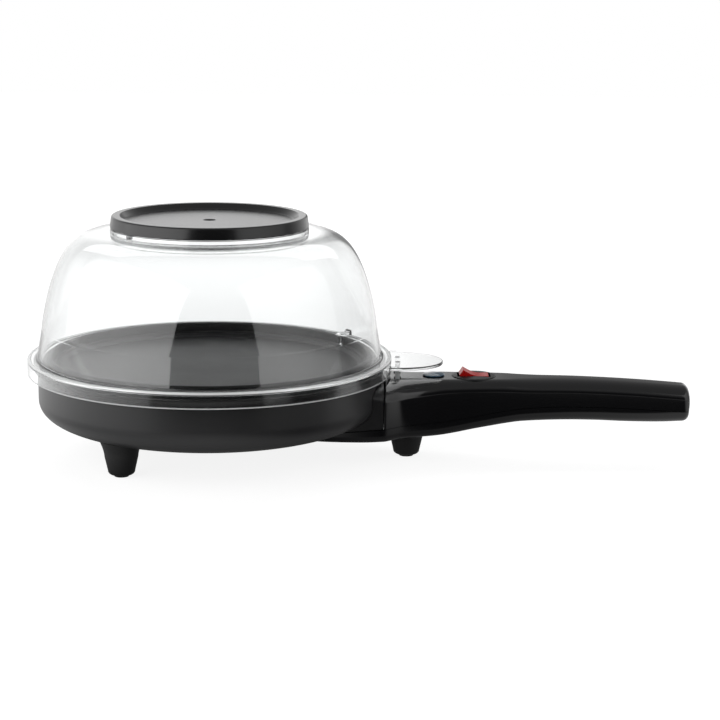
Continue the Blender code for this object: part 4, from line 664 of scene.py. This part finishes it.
def makeCap():
    under = cap["floorTop"] - cap["floorThickness"]
    taper, soft, edge, lip, cove = cap["taper"], cap["soft"], cap["edge"], cap["lipRound"], cap["coveRound"]
    inner = cap["rimRadius"] - taper - cap["rimWidth"]
    profile = arcPoints(cap["hole"] + soft, under + soft, soft, 270, 180, 3)
    profile += arcPoints(cap["hole"] + soft, cap["floorTop"] - soft, soft, 180, 90, 3)
    profile += arcPoints(cap["floorRadius"] - 1.0, cap["floorTop"] + cove, cove, 270, 306, 4)
    profile += arcPoints(inner + taper, cap["rimTop"] - lip, lip, 150, 90, 4)
    profile += arcPoints(
        cap["rimRadius"] - taper - cap["round"], cap["rimTop"] - cap["round"], cap["round"], 90, 20, 6
    )
    profile += arcPoints(cap["rimRadius"] - edge, cap["rimBottom"] + edge, edge, 0, -90, 4)
    profile += [(cap["rimRadius"] - cap["skirt"], cap["rimBottom"]), (cap["rimRadius"] - cap["skirt"], under)]
    body = turnedMesh("cap", profile, cap["segments"], material=capBlack)
    outer = dome["collarRadius"] - dome["collarWall"] - 0.5
    lugs = []
    for turn in (0, 180):
        block = boxMesh(
            "capLug", (outer - cap["lugDepth"], -cap["lugWidth"] / 2, cap["rimBottom"] - cap["lugLength"]),
            (outer, cap["lugWidth"] / 2, under + 0.8),
        )
        lugs.append(turnAndMove(block, cap["lugAngle"] + turn, "Z"))
    mesh = combined("cap", body, lugs, "UNION")
    return meshPiece("domeCap", mesh, capBlack, body="cap", replaces=["top_cap"])


makeCap()
print("cap made")


# Handle: shell, cover and neck come from one loft

handle = {
    "front": 115.4, "end": 318.2, "tail": 48.0, "wall": 2.4, "endWall": 3.0, "endRound": 4.0, "frontRound": 1.6,
    "top": 54.8, "bottomRound": 5.0, "bottomRoundShare": 0.7, "seamGap": 0.3, "hollow": 74.0, "neckInset": 1.2,
    "slotGap": 0.8, "baseScrewX": 62.0, "gripScrewX": 294.7, "screwHole": 2.0, "screwHead": 3.4,
    "baseSink": 18.1, "gripSink": 7.0, "switchDepth": 9.0, "lensDepth": 7.0, "slotDepth": 5.0,
    "wireWay": ((100, -10, 33), (120, 10, 45)), "cornerSteps": 10, "spacing": 2.2,
}
# mm from the pan's axis, then the half width, the underside, the top and where the halves meet
halfStations = [
    (48, 24), (65, 33.5), (85, 37.2), (115.4, 37.2), (120, 34), (127, 28), (138, 23.6), (151, 20.8),
    (166, 19), (180, 18.2), (205, 16.3), (232, 14.7), (265, 13.9), (318.2, 13.8),
]
bottomStations = [
    (48, 16.5), (101.9, 16.5), (120, 17.1), (141, 17.15), (153, 17.85), (165, 19.7), (175, 21.7), (186, 23.6),
    (196.5, 25.3), (207, 26.55), (232, 27.3), (255, 27.1), (277, 26.25), (300, 26.1), (318.2, 26.9),
]
topStations = [
    (48, 54.8), (190, 54.8), (210, 54.75), (237, 54.75), (260, 54.1), (285, 52.85), (307.5, 51.25),
    (318.2, 50.4),
]
# how deep the crowned top falls in mm, and how much of the half width it takes
crownStations = [
    (48, 5.8), (90, 6.5), (120, 11.5), (135, 10.5), (155, 8.5), (180, 7.5), (215, 8.2), (318.2, 8.7),
]
crownShares = [
    (48, 0.3), (90, 0.4), (120, 0.7), (140, 0.62), (158, 0.38), (190, 0.36), (205, 0.6), (225, 0.8),
    (318.2, 0.86),
]
seamStations = [
    (48, 22.5), (90, 24), (114.5, 26), (130, 26.2), (145, 26.8), (160, 28.3), (176, 31), (193, 34.2),
    (209, 36.2), (232, 37.2), (255, 37), (278, 36.2), (300, 35), (318.2, 34.1),
]


def smoothAt(table, x):
    # a smooth line through the table's stations
    if x <= table[0][0]:
        return table[0][1]
    if x >= table[-1][0]:
        return table[-1][1]
    for i in range(len(table) - 1):
        x1, y1 = table[i]
        x2, y2 = table[i + 1]
        if x1 <= x <= x2:
            break
    x0, y0 = table[max(i - 1, 0)]
    x3, y3 = table[min(i + 2, len(table) - 1)]
    slope1 = (y2 - y0) / (x2 - x0)
    slope2 = (y3 - y1) / (x3 - x1)
    t = (x - x1) / (x2 - x1)
    span = x2 - x1
    return (
        (2 * t ** 3 - 3 * t ** 2 + 1) * y1 + (t ** 3 - 2 * t ** 2 + t) * span * slope1
        + (3 * t ** 2 - 2 * t ** 3) * y2 + (t ** 3 - t ** 2) * span * slope2
    )


def handleSection(x, grow):
    # one ring round the handle: elliptic corners on top, round ones below, moved outwards by grow
    half = smoothAt(halfStations, x) + grow
    top = smoothAt(topStations, x) + grow
    bottom = smoothAt(bottomStations, x) - grow
    share = min(max((x - handle["front"]) / (handle["end"] - handle["front"]), 0), 1)
    topRound = max(smoothAt(crownStations, x) + grow, 1.3)
    topWide = max(smoothAt(crownShares, x) * half, topRound)
    low = max(handle["bottomRound"] * (1 + handle["bottomRoundShare"] * share) + grow, 1.3)
    ring = []
    corners = (
        (half - topWide, top - topRound, topWide, topRound, 0),
        (topWide - half, top - topRound, topWide, topRound, 90),
        (low - half, bottom + low, low, low, 180), (half - low, bottom + low, low, low, 270),
    )
    for y, z, wide, tall, start in corners:
        for step in range(handle["cornerSteps"] + 1):
            angle = math.radians(start + 90 * step / handle["cornerSteps"])
            ring.append((x, y + wide * math.cos(angle), z + tall * math.sin(angle)))
    return ring


def handleForm(name, low, high, extra=0.0, endRound=0.0, frontRound=0.0):
    # the whole handle between two places, moved outwards by extra, its ends rounded if asked
    low -= extra
    high += extra
    turns = [math.pi / 2 * step / 6 for step in range(6)]
    rounding = [(1 - math.cos(turn), 1 - math.sin(turn)) for turn in turns]
    stations = []
    if frontRound:
        stations += [(low + frontRound * along, frontRound * inward) for along, inward in rounding]
    start, stop = low + frontRound, high - endRound
    count = max(round((stop - start) / handle["spacing"]), 1)
    stations += [(start + (stop - start) * step / count, 0) for step in range(count + 1)]
    if endRound:
        stations += [(high - endRound * along, endRound * inward) for along, inward in reversed(rounding)]
    bm = bmesh.new()
    rings = []
    for x, inset in stations:
        ring = handleSection(x, extra - inset)
        rings.append([bm.verts.new((panX + px * mm, y * mm, z * mm)) for px, y, z in ring])
    for before, after in zip(rings, rings[1:]):
        for i in range(len(before)):
            bm.faces.new((before[i - 1], before[i], after[i], after[i - 1]))
    bm.faces.new(rings[0])
    bm.faces.new(rings[-1])
    return closedMesh(name, bm)


def seamSide(name, above):
    # all that lies above or below the line where shell and cover meet
    shift = handle["seamGap"] / 2 if above else -handle["seamGap"] / 2
    beyond, spacing, wide = 40, 3.0, 45
    count = int((handle["end"] - handle["tail"]) / spacing) + 2
    xs = [handle["tail"] - beyond] + [handle["tail"] + spacing * step for step in range(count)]
    xs.append(handle["end"] + beyond)
    line = [(x, smoothAt(seamStations, x) + shift) for x in xs]
    far = 95 if above else -beyond
    return prism(name, line + [(xs[-1], far), (xs[0], far)], -wide, wide, axis="Y")


def bowlSolid(name):
    # the bowl's outside with its clearance, to cut what lies against it
    profile = [(0, bowl["flangeTop"]), (bowl["radius"] + gap, bowl["flangeTop"])]
    profile += bowlCorner(gap)
    profile.append((0, bowl["bottom"] - gap))
    return turnedMesh(name, profile, bowl["segments"])


def uprightRod(name, x, y, radius, low, high, steps=32):
    outline = [(x + px, y + py) for px, py in arcPoints(0, 0, radius, 0, 360, steps)[:-1]]
    return prism(name, outline, low, high)


switch = {
    "x": 175.3, "bezelRadius": 14.3, "bezelThickness": 1.4, "proud": 0.6, "halfLength": 11.8, "halfWidth": 7.7,
    "rockerHalfLength": 10.3, "rockerHalfWidth": 6.2, "tipHalf": 8.7, "tipHeight": 2.7, "dipHeight": 0.9,
    "pivotDrop": 2.5, "heelDrop": 1.5, "hubHalf": 4.2, "hubDrop": 6.2, "tilt": 13.0, "crown": 0.7, "edge": 0.5,
    "windowGap": (0.8, 0.4), "keyRound": 0.35,
}
lamp = {
    "x": 148.6, "radius": 7.3, "flange": 0.7, "crown": 0.9, "edge": 0.2, "skirtRadius": 5.6, "skirtWall": 1.0,
    "skirt": 10.0,
}
bush = {
    "height": 38.2, "bore": 4.15, "neck": 5.55, "flange": 7.15, "flangeThickness": 1.4, "proud": 0.6,
    "edge": 0.5,
}


def endHole(name):
    # a rod through the handle's end wall
    outline = arcPoints(0, 0, bush["neck"] + gap, 0, 360, 40)[:-1]
    inner, length = 9, 12
    return turnAndMove(prism(name, outline, 0, length), 90, "Y", handle["end"] - inner, bush["height"])


def makeHandle():
    top = handle["top"]
    outer = handleForm("shell", handle["front"], handle["end"], 0, handle["endRound"], handle["frontRound"])
    hollowEnd = handle["end"] + handle["wall"] - handle["endWall"]
    hollow = handleForm("hollow", handle["front"], hollowEnd, -handle["wall"])
    shell = combined("shell", outer, [hollow], "DIFFERENCE")
    shell = combined("shell", shell, [seamSide("above", True)], "INTERSECT")
    pocketBottom = top + switch["proud"] - switch["bezelThickness"] - gap
    tools = [
        uprightRod("pocket", switch["x"], 0, switch["bezelRadius"] + gap, pocketBottom, top + past, 64),
        boxMesh(
            "switchHole",
            (switch["x"] - switch["halfLength"] - gap, -switch["halfWidth"] - gap, top - handle["switchDepth"]),
            (switch["x"] + switch["halfLength"] + gap, switch["halfWidth"] + gap, top + past),
        ),
        uprightRod(
            "lensHole", lamp["x"], 0, lamp["skirtRadius"] + gap, top - handle["lensDepth"], top + past, 40
        ),
        endHole("shellEndHole"),
    ]
    halfLength = tab["prongLength"] / 2 + handle["slotGap"]
    halfWidth = tab["prongWidth"] / 2 + handle["slotGap"]
    for y in (-tab["prongSpacing"] / 2, tab["prongSpacing"] / 2):
        tools.append(boxMesh(
            "slot", (tab["prongX"] - halfLength, y - halfWidth, top - handle["slotDepth"]),
            (tab["prongX"] + halfLength, y + halfWidth, top + past),
        ))
    shell = combined("shell", shell, tools, "DIFFERENCE")
    meshPiece("handleShell", shell, glossBlack, replaces=["handle_shell"], smooth=35)
    makeCover(hollowEnd)
    makeNeck()


def makeCover(hollowEnd):
    outer = handleForm("cover", handle["tail"], handle["end"], 0, handle["endRound"], handle["endRound"])
    hollow = handleForm("hollow", handle["hollow"], hollowEnd, -handle["wall"])
    cover = combined("cover", outer, [hollow], "DIFFERENCE")
    cover = combined("cover", cover, [seamSide("below", False)], "INTERSECT")
    baseX, gripX, hole, head = (handle[key] for key in ("baseScrewX", "gripScrewX", "screwHole", "screwHead"))
    gripTop = smoothAt(bottomStations, gripX) + handle["gripSink"]
    cover = combined("cover", cover, [
        bowlSolid("bowlSeat"), endHole("coverEndHole"),
        uprightRod("baseHole", baseX, 0, hole, 0, 22),
        uprightRod("baseSink", baseX, 0, head, 0, handle["baseSink"]),
        uprightRod("gripSink", gripX, 0, head, 0, gripTop),
    ], "DIFFERENCE")
    meshPiece("handleCover", cover, glossBlack, replaces=["handle_cover"], smooth=35)


def makeNeck():
    inset = handle["neckInset"]
    neck = handleForm("neck", handle["tail"] + inset, handle["front"] - gap + inset, -inset)
    neck = combined("neck", neck, [seamSide("above", True)], "INTERSECT")
    wireWay = boxMesh("wireWay", *handle["wireWay"])
    neck = combined("neck", neck, [bowlSolid("neckSeat"), wireWay], "DIFFERENCE")
    meshPiece("handleNeck", neck, satinBlack, replaces=["handle_neck"], smooth=35)


makeHandle()
print("handle made")


# Switch and lamp

def makeBezel():
    top = handle["top"] + switch["proud"]
    low = top - switch["bezelThickness"]
    radius = switch["bezelRadius"] - switch["edge"]
    profile = [(0, low), (switch["bezelRadius"], low)]
    profile += arcPoints(radius, top - switch["edge"], switch["edge"], 0, 70, 4)
    for step in range(1, 9):
        share = 1 - step / 8
        profile.append((radius * share, top + switch["crown"] * (1 - share ** 2)))
    bezel = turnedMesh("bezel", profile, 96, (switch["x"], 0))
    halfX = switch["rockerHalfLength"] + switch["windowGap"][0]
    halfY = switch["rockerHalfWidth"] + switch["windowGap"][1]
    x, high = switch["x"], top + switch["crown"] + past
    window = boxMesh("window", (x - halfX, -halfY, low - past), (x + halfX, halfY, high))
    bezel = combined("bezel", bezel, [window], "DIFFERENCE")
    meshPiece("switchBezel", bezel, mattBlack, replaces=["switch_bezel"])


def makeRocker():
    # drawn level round its pivot, then tilted to its place at rest
    up = switch["pivotDrop"]
    tipHalf, tipTop, dipTop = switch["tipHalf"], up + switch["tipHeight"], up + switch["dipHeight"]
    heel = up - switch["heelDrop"]
    long = switch["rockerHalfLength"]
    saddle = []
    for step in range(17):
        share = -1 + 2 * step / 16
        saddle.append((tipHalf * share, dipTop + (tipTop - dipTop) * share * share * (1.6 - 0.6 * abs(share))))
    outline = saddle + [
        (long, heel), (long * 0.86, heel - switch["heelDrop"]), (switch["hubHalf"], up - switch["hubDrop"]),
        (-switch["hubHalf"], up - switch["hubDrop"]), (-long * 0.86, heel - switch["heelDrop"]), (-long, heel),
    ]
    wide = switch["rockerHalfWidth"]
    rocker = rounded(prism("rocker", outline, -wide, wide, axis="Y"), switch["keyRound"], 3, 25)
    pivotHeight = handle["top"] + switch["proud"] - up
    turnAndMove(rocker, switch["tilt"], "Y", switch["x"], pivotHeight)
    meshPiece("rockerKey", rocker, redLens, body="rocker", replaces=["switch_rocker"])


def makeLens():
    seat = handle["top"] + gap
    inner = lamp["skirtRadius"] - lamp["skirtWall"]
    high = seat + lamp["flange"]
    edge = lamp["edge"]
    profile = [(lamp["skirtRadius"], seat), (lamp["radius"] - edge, seat), (lamp["radius"], seat + edge)]
    rise = lamp["crown"] + edge
    for step in range(13):
        angle = math.pi / 2 * step / 12
        profile.append((lamp["radius"] * math.cos(angle), high - edge + rise * math.sin(angle)))
    profile += [(0, seat - 1.0), (inner, seat - 1.0), (inner, seat - lamp["skirt"])]
    profile += [(lamp["skirtRadius"], seat - lamp["skirt"])]
    mesh = turnedMesh("lens", profile, 64, (lamp["x"], 0))
    meshPiece("lampLens", mesh, blueLens, replaces=["lamp_lens"])


def makeBush():
    inner = handle["end"] - handle["endWall"]
    thick, wall = bush["flangeThickness"], handle["endWall"] + 2 * gap
    outer, edge = bush["flange"] - bush["proud"], bush["edge"]
    profile = [(bush["bore"], 0), (bush["flange"], 0), (bush["flange"], thick), (bush["neck"], thick)]
    profile += [(bush["neck"], thick + wall), (outer, thick + wall)]
    profile += arcPoints(outer - edge, thick + wall + 0.1, edge, 0, 90, 4)
    profile += arcPoints(bush["bore"] + edge, thick + wall + 0.1, edge, 90, 180, 4)
    mesh = turnedMesh("bush", profile, 64)
    turnAndMove(mesh, 90, "Y", inner - gap - thick, bush["height"])
    meshPiece("cordBush", mesh, rubberBlack, replaces=["cord_bush"])


makeBezel()
makeRocker()
makeLens()
makeBush()
print("switch, lamp and bush made")


# Feet

foot = {
    "circle": 80.95, "angle": 131.0, "handleX": 131.0, "tipRadius": 5.4, "midRadius": 8.75, "midHeight": 3.9,
    "radius": 10.8, "taperHeight": 13.0, "flare": 15.5, "flarePower": 1.6, "bore": 3.6, "boreHeight": 11.0,
    "screwHole": 2.0, "padThickness": 1.2, "padRadius": 5.0, "padEdge": 0.4, "stubRadius": 3.2, "stub": 4.0,
    "handleHeight": 18.5, "bury": 2.0,
}


def makeFoot(name, centre, topRadius, height, seat, node):
    # a rounded tip, a taper and a flare, cut to what it stands against
    low = foot["padThickness"]
    profile = [(0, low), (foot["tipRadius"] - 0.4, low)]
    for step in range(1, 11):
        angle = math.pi / 2 * step / 10
        profile.append((
            foot["tipRadius"] + (foot["midRadius"] - foot["tipRadius"]) * math.sin(angle),
            low + (foot["midHeight"] - low) * (1 - math.cos(angle)),
        ))
    profile.append((foot["radius"], foot["taperHeight"]))
    for step in range(1, 7):
        share = step / 6
        profile.append((
            foot["radius"] + (topRadius - foot["radius"]) * share ** foot["flarePower"],
            foot["taperHeight"] + (height - foot["taperHeight"]) * share,
        ))
    profile.append((0, height))
    body = turnedMesh(name, profile, 72, centre)
    tools = [seat, uprightRod("bore", *centre, foot["bore"], -past, foot["boreHeight"], 40)]
    tools.append(uprightRod("hole", *centre, foot["screwHole"], 0, height + past))
    mesh = combined(name, body, tools, "DIFFERENCE")
    meshPiece(name, mesh, mattBlack, replaces=[node])


def makePad(name, centre, node):
    radius, thick, edge = foot["padRadius"], foot["padThickness"], foot["padEdge"]
    profile = [(0, 0)]
    profile += arcPoints(radius - edge - 0.2, edge, edge, 270, 360, 4)
    profile += [(radius, thick - gap), (foot["stubRadius"], thick - gap)]
    profile += [(foot["stubRadius"], thick + foot["stub"]), (0, thick + foot["stub"])]
    mesh = turnedMesh(name, profile, 48, centre)
    meshPiece(name, mesh, rubberBlack, replaces=[node])


for side, label in ((-1, "front"), (1, "rear")):
    angle = math.radians(side * foot["angle"])
    centre = (foot["circle"] * math.cos(angle), foot["circle"] * math.sin(angle))
    height = bowlHeight(foot["circle"] + foot["flare"]) + foot["bury"]
    makeFoot("panFoot_" + label, centre, foot["flare"], height, bowlSolid("seat"), "foot_" + label)
    makePad("footPad_" + label, centre, "foot_pad_" + label)
handleSeat = handleForm("seat", handle["tail"], handle["end"], gap)
makeFoot("handleFoot", (foot["handleX"], 0), foot["radius"], foot["handleHeight"], handleSeat, "foot_handle")
makePad("footPad_handle", (foot["handleX"], 0), "foot_pad_handle")
print("feet made")


# Camera: fitted to the photograph

# mm and degrees, focal in pixels of a picture of that size; x and z are where it looks, from the pan's axis
view = {
    "distance": 1400.0, "elevation": 11.73, "focal": 2104.0, "size": 720.0, "roll": 0.5, "x": 99.5, "z": 64.8,
    "sensor": 36, "clip": 20,
}


def makeCamera():
    tilt = math.radians(view["elevation"])
    roll = math.radians(view["roll"])
    back = Vector((0, -math.cos(tilt), math.sin(tilt)))
    flatRight = Vector((1, 0, 0))
    flatUp = Vector((0, math.sin(tilt), math.cos(tilt)))
    right = flatRight * math.cos(roll) + flatUp * math.sin(roll)
    up = flatUp * math.cos(roll) - flatRight * math.sin(roll)
    data = bpy.data.cameras.new("photoView")
    data.sensor_width = view["sensor"]
    data.lens = view["focal"] / view["size"] * data.sensor_width
    data.clip_end = view["clip"]
    camera = bpy.data.objects.new("photoView", data)
    bpy.context.collection.objects.link(camera)
    place = Vector((panX + view["x"] * mm, 0, view["z"] * mm)) + back * view["distance"] * mm
    camera.matrix_world = Matrix((
        (right.x, up.x, back.x, place.x), (right.y, up.y, back.y, place.y),
        (right.z, up.z, back.z, place.z), (0, 0, 0, 1),
    ))
    bpy.context.scene.camera = camera


makeCamera()


# Studio: a white sweep that keeps a faint shadow, with soft boxes left, right and behind

floorLook = {
    "half": 3.0, "paper": "#8f8f8f",
    # how white the camera sees it near the object and far away, and between which distances in m
    "white": (0.87, 1.0), "whiteReach": (0.35, 0.9),
    # what gloss sees left and right of the pan's axis, and the distances at which the ring of light takes over
    "nearGlow": (0.66, 0.16), "nearX": (0.0, 0.13), "nearReach": (0.14, 0.4),
    # the dark zone before the handle: where it starts, is full and ends, and how dark it is
    "shadeX": (0.06, 0.14, 0.38, 0.46), "shadeY": (-0.31, -0.27, -0.11, -0.06), "shade": 0.97,
    # the floor in the pan's own shade
    "underReach": (0.08, 0.135), "under": (0.15, 1.0),
}
# what gloss sees round the table and the room: degrees from the camera's side, minus is left, and radiance
tableRound = [
    (-180, 1.0), (-140, 0.9), (-112, 1.5), (-84, 2.0), (-29, 0.7), (-27, 0.02), (31, 0.02), (33, 0.45),
    (57, 0.9), (90, 0.85), (104, 0.3), (125, 0.7), (145, 1.0), (165, 1.0), (169, 0.3), (177, 0.3), (180, 1.0),
]
roomRound = [
    (-180, 1.3), (-168, 1.2), (-158, 1.0), (-140, 0.9), (-112, 1.5), (-84, 1.0), (-30, 0.03), (34, 0.03),
    (80, 0.2), (108, 0.35), (135, 0.9), (150, 1.0), (165, 1.0), (169, 0.25), (176, 0.28), (178.3, 0.8),
    (180, 1.3),
]


def byRay(tree, direct, mirrored, scattered):
    # one shader for the camera and what it sees through the dome, one for gloss, one for soft light
    path = addNode(tree, "ShaderNodeLightPath")
    gloss, soft = [
        addNode(tree, "ShaderNodeMath", {0: path.outputs[depth], 1: 0.5}, operation="GREATER_THAN").outputs[0]
        for depth in ("Glossy Depth", "Diffuse Depth")
    ]
    first = addNode(tree, "ShaderNodeMixShader", {0: gloss, 1: direct.outputs[0], 2: mirrored.outputs[0]})
    both = addNode(tree, "ShaderNodeMixShader", {0: soft, 1: first.outputs[0], 2: scattered.outputs[0]})
    return both.outputs[0]


def ringLevel(tree, x, y, levels):
    # a level that changes with the direction round the object, kept in a ramp from -180 to 180 degrees
    front = addNode(tree, "ShaderNodeMath", {0: y, 1: -1.0}, operation="MULTIPLY")
    turn = addNode(tree, "ShaderNodeMath", {0: x, 1: front.outputs[0]}, operation="ARCTAN2")
    share = addNode(tree, "ShaderNodeMapRange", fadeInputs(turn.outputs[0], (-math.pi, math.pi)))
    ramp = addNode(tree, "ShaderNodeValToRGB", {"Fac": share.outputs[0]})
    highest = max(level for angle, level in levels)
    points = ramp.color_ramp.elements
    for number, (angle, level) in enumerate(levels):
        place = (angle + 180) / 360
        point = points.new(place) if 0 < number < len(levels) - 1 else points[-1 if number else 0]
        point.position = place
        point.color = (*[level / highest] * 3, 1.0)
    scaled = addNode(tree, "ShaderNodeMath", {0: ramp.outputs["Color"], 1: highest}, operation="MULTIPLY")
    return scaled.outputs[0]


def makeFloor():
    # the camera sees white paper, gloss sees it lit near the object and dark in front of the table
    material, tree = newMaterial("paperSweep")
    place = addNode(tree, "ShaderNodeTexCoord").outputs["Object"]
    fibre = addNode(tree, "ShaderNodeTexNoise", {"Vector": place}, Scale=scaleFor(3.3333), Detail=3.0)
    bump = addNode(tree, "ShaderNodeBump", {"Height": fibre.outputs["Fac"]}, Strength=0.03, Distance=0.0002)
    paper = addNode(
        tree, "ShaderNodeBsdfDiffuse", {"Color": srgb(floorLook["paper"]), "Normal": bump.outputs[0]},
        Roughness=0.0,
    )
    split = addNode(tree, "ShaderNodeSeparateXYZ", {0: place})
    right = addNode(tree, "ShaderNodeMath", {0: split.outputs["X"], 1: panX}, operation="SUBTRACT").outputs[0]
    back = split.outputs["Y"]
    flat = addNode(tree, "ShaderNodeCombineXYZ", {"X": right, "Y": back})
    middle, reach = [
        addNode(tree, "ShaderNodeVectorMath", {0: socket}, operation="LENGTH").outputs["Value"]
        for socket in (place, flat.outputs[0])
    ]
    fades = {}
    for name, socket, span, levels in (
        ("white", middle, floorLook["whiteReach"], floorLook["white"]),
        ("outward", reach, floorLook["nearReach"], (0.0, 1.0)),
        ("near", right, floorLook["nearX"], floorLook["nearGlow"]),
        ("under", reach, floorLook["underReach"], floorLook["under"]),
        ("shadeLeft", right, floorLook["shadeX"][:2], (0.0, 1.0)),
        ("shadeRight", right, floorLook["shadeX"][2:], (1.0, 0.0)),
        ("shadeFront", back, floorLook["shadeY"][:2], (0.0, 1.0)),
        ("shadeBack", back, floorLook["shadeY"][2:], (1.0, 0.0)),
    ):
        fades[name] = addNode(
            tree, "ShaderNodeMapRange", fadeInputs(socket, span, levels), interpolation_type="SMOOTHSTEP"
        ).outputs[0]
    white = addNode(tree, "ShaderNodeEmission", {"Strength": fades["white"]})
    seen = addNode(tree, "ShaderNodeAddShader", {0: paper.outputs[0], 1: white.outputs[0]})
    lit = addNode(tree, "ShaderNodeMath", {0: fades["near"], 1: fades["under"]}, operation="MULTIPLY")
    around = ringLevel(tree, right, back, tableRound)
    blend = addNode(
        tree, "ShaderNodeMix", {"Factor": fades["outward"], "A": lit.outputs[0], "B": around}, data_type="FLOAT"
    )
    shade = fades["shadeLeft"]
    for name in ("shadeRight", "shadeFront", "shadeBack"):
        shade = addNode(tree, "ShaderNodeMath", {0: shade, 1: fades[name]}, operation="MULTIPLY").outputs[0]
    kept = addNode(tree, "ShaderNodeMapRange", fadeInputs(shade, (0, 1), (1.0, 1.0 - floorLook["shade"])))
    level = addNode(tree, "ShaderNodeMath", {0: blend.outputs[0], 1: kept.outputs[0]}, operation="MULTIPLY")
    glow = addNode(tree, "ShaderNodeEmission", {"Strength": level.outputs[0]})
    addNode(tree, "ShaderNodeOutputMaterial", {"Surface": byRay(tree, seen, glow, paper)})
    half = floorLook["half"]
    mesh = bpy.data.meshes.new("floor")
    corners = [(-half, -half, 0), (half, -half, 0), (half, half, 0), (-half, half, 0)]
    mesh.from_pydata(corners, [], [(0, 1, 2, 3)])
    floor = bpy.data.objects.new("floor", mesh)
    bpy.context.collection.objects.link(floor)
    mesh.materials.append(material)


makeFloor()

# turn: degrees round from the camera's side towards the right, rise: degrees up, glow: radiance,
# inner: what is left of it at the side towards the camera, as a soft box is dimmer beside its lamp
softBoxes = {
    "left": {"turn": -66.0, "rise": 24.0, "away": 1.5, "size": (2.7, 1.5), "glow": 2.1, "inner": 0.32},
    "right": {"turn": 66.0, "rise": 24.0, "away": 1.5, "size": (2.0, 1.5), "glow": 1.1, "inner": 0.4},
    "behind": {"turn": 180.0, "rise": 50.0, "away": 1.6, "size": (2.4, 1.0), "glow": 2.0, "inner": 1.0},
}
studio = {"aim": 0.06, "fall": 0.7, "soft": 0.14, "ceiling": 0.4, "ceilingReach": (0.2, 0.6)}


def makeSoftBox(name, box):
    turn, rise = math.radians(box["turn"]), math.radians(box["rise"])
    toward = Vector((math.sin(turn) * math.cos(rise), -math.cos(turn) * math.cos(rise), math.sin(rise)))
    data = bpy.data.lights.new(name, "AREA")
    data.shape = "RECTANGLE"
    data.size, data.size_y = box["size"]
    data.energy = box["glow"] * math.pi * data.size * data.size_y
    light = bpy.data.objects.new(name, data)
    bpy.context.collection.objects.link(light)
    light.location = toward * box["away"]
    light.rotation_euler = (Vector((0, 0, studio["aim"])) - light.location).to_track_quat("-Z", "Y").to_euler()
    light.visible_glossy = name != "behind"
    data.use_nodes = True
    tree = data.node_tree
    tree.nodes.clear()
    across = addNode(tree, "ShaderNodeNewGeometry")
    split = addNode(tree, "ShaderNodeSeparateXYZ", {0: across.outputs["Parametric"]})
    span, levels = (0.0, studio["fall"]), (box["inner"], 1.0)
    if box["turn"] > 0:
        span, levels = (1.0 - studio["fall"], 1.0), (1.0, box["inner"])
    fall = addNode(
        tree, "ShaderNodeMapRange", fadeInputs(split.outputs["X"], span, levels),
        interpolation_type="SMOOTHSTEP",
    )
    shine = addNode(tree, "ShaderNodeEmission", {"Strength": fall.outputs[0]})
    addNode(tree, "ShaderNodeOutputLight", {"Surface": shine.outputs[0]})


def makeWorld():
    # white for the camera, the ring of the room for gloss, low and even for soft light
    world = bpy.data.worlds.new("studio")
    bpy.context.scene.world = world
    world.use_nodes = True
    tree = world.node_tree
    tree.nodes.clear()
    place = addNode(tree, "ShaderNodeTexCoord")
    split = addNode(tree, "ShaderNodeSeparateXYZ", {0: place.outputs["Generated"]})
    level = ringLevel(tree, split.outputs["X"], split.outputs["Y"], roomRound)
    upward = addNode(
        tree, "ShaderNodeMapRange", fadeInputs(split.outputs["Z"], studio["ceilingReach"]),
        interpolation_type="SMOOTHSTEP",
    )
    both = addNode(
        tree, "ShaderNodeMix", {"Factor": upward.outputs[0], "A": level, "B": studio["ceiling"]},
        data_type="FLOAT",
    )
    glossy, soft, white = [
        addNode(tree, "ShaderNodeBackground", {"Color": (1, 1, 1, 1), "Strength": strength})
        for strength in (both.outputs[0], studio["soft"], 1.0)
    ]
    addNode(tree, "ShaderNodeOutputWorld", {"Surface": byRay(tree, white, glossy, soft)})


for boxName, box in softBoxes.items():
    makeSoftBox(boxName, box)
makeWorld()
bpy.context.scene.view_settings.view_transform = "Standard"
print("studio ready")
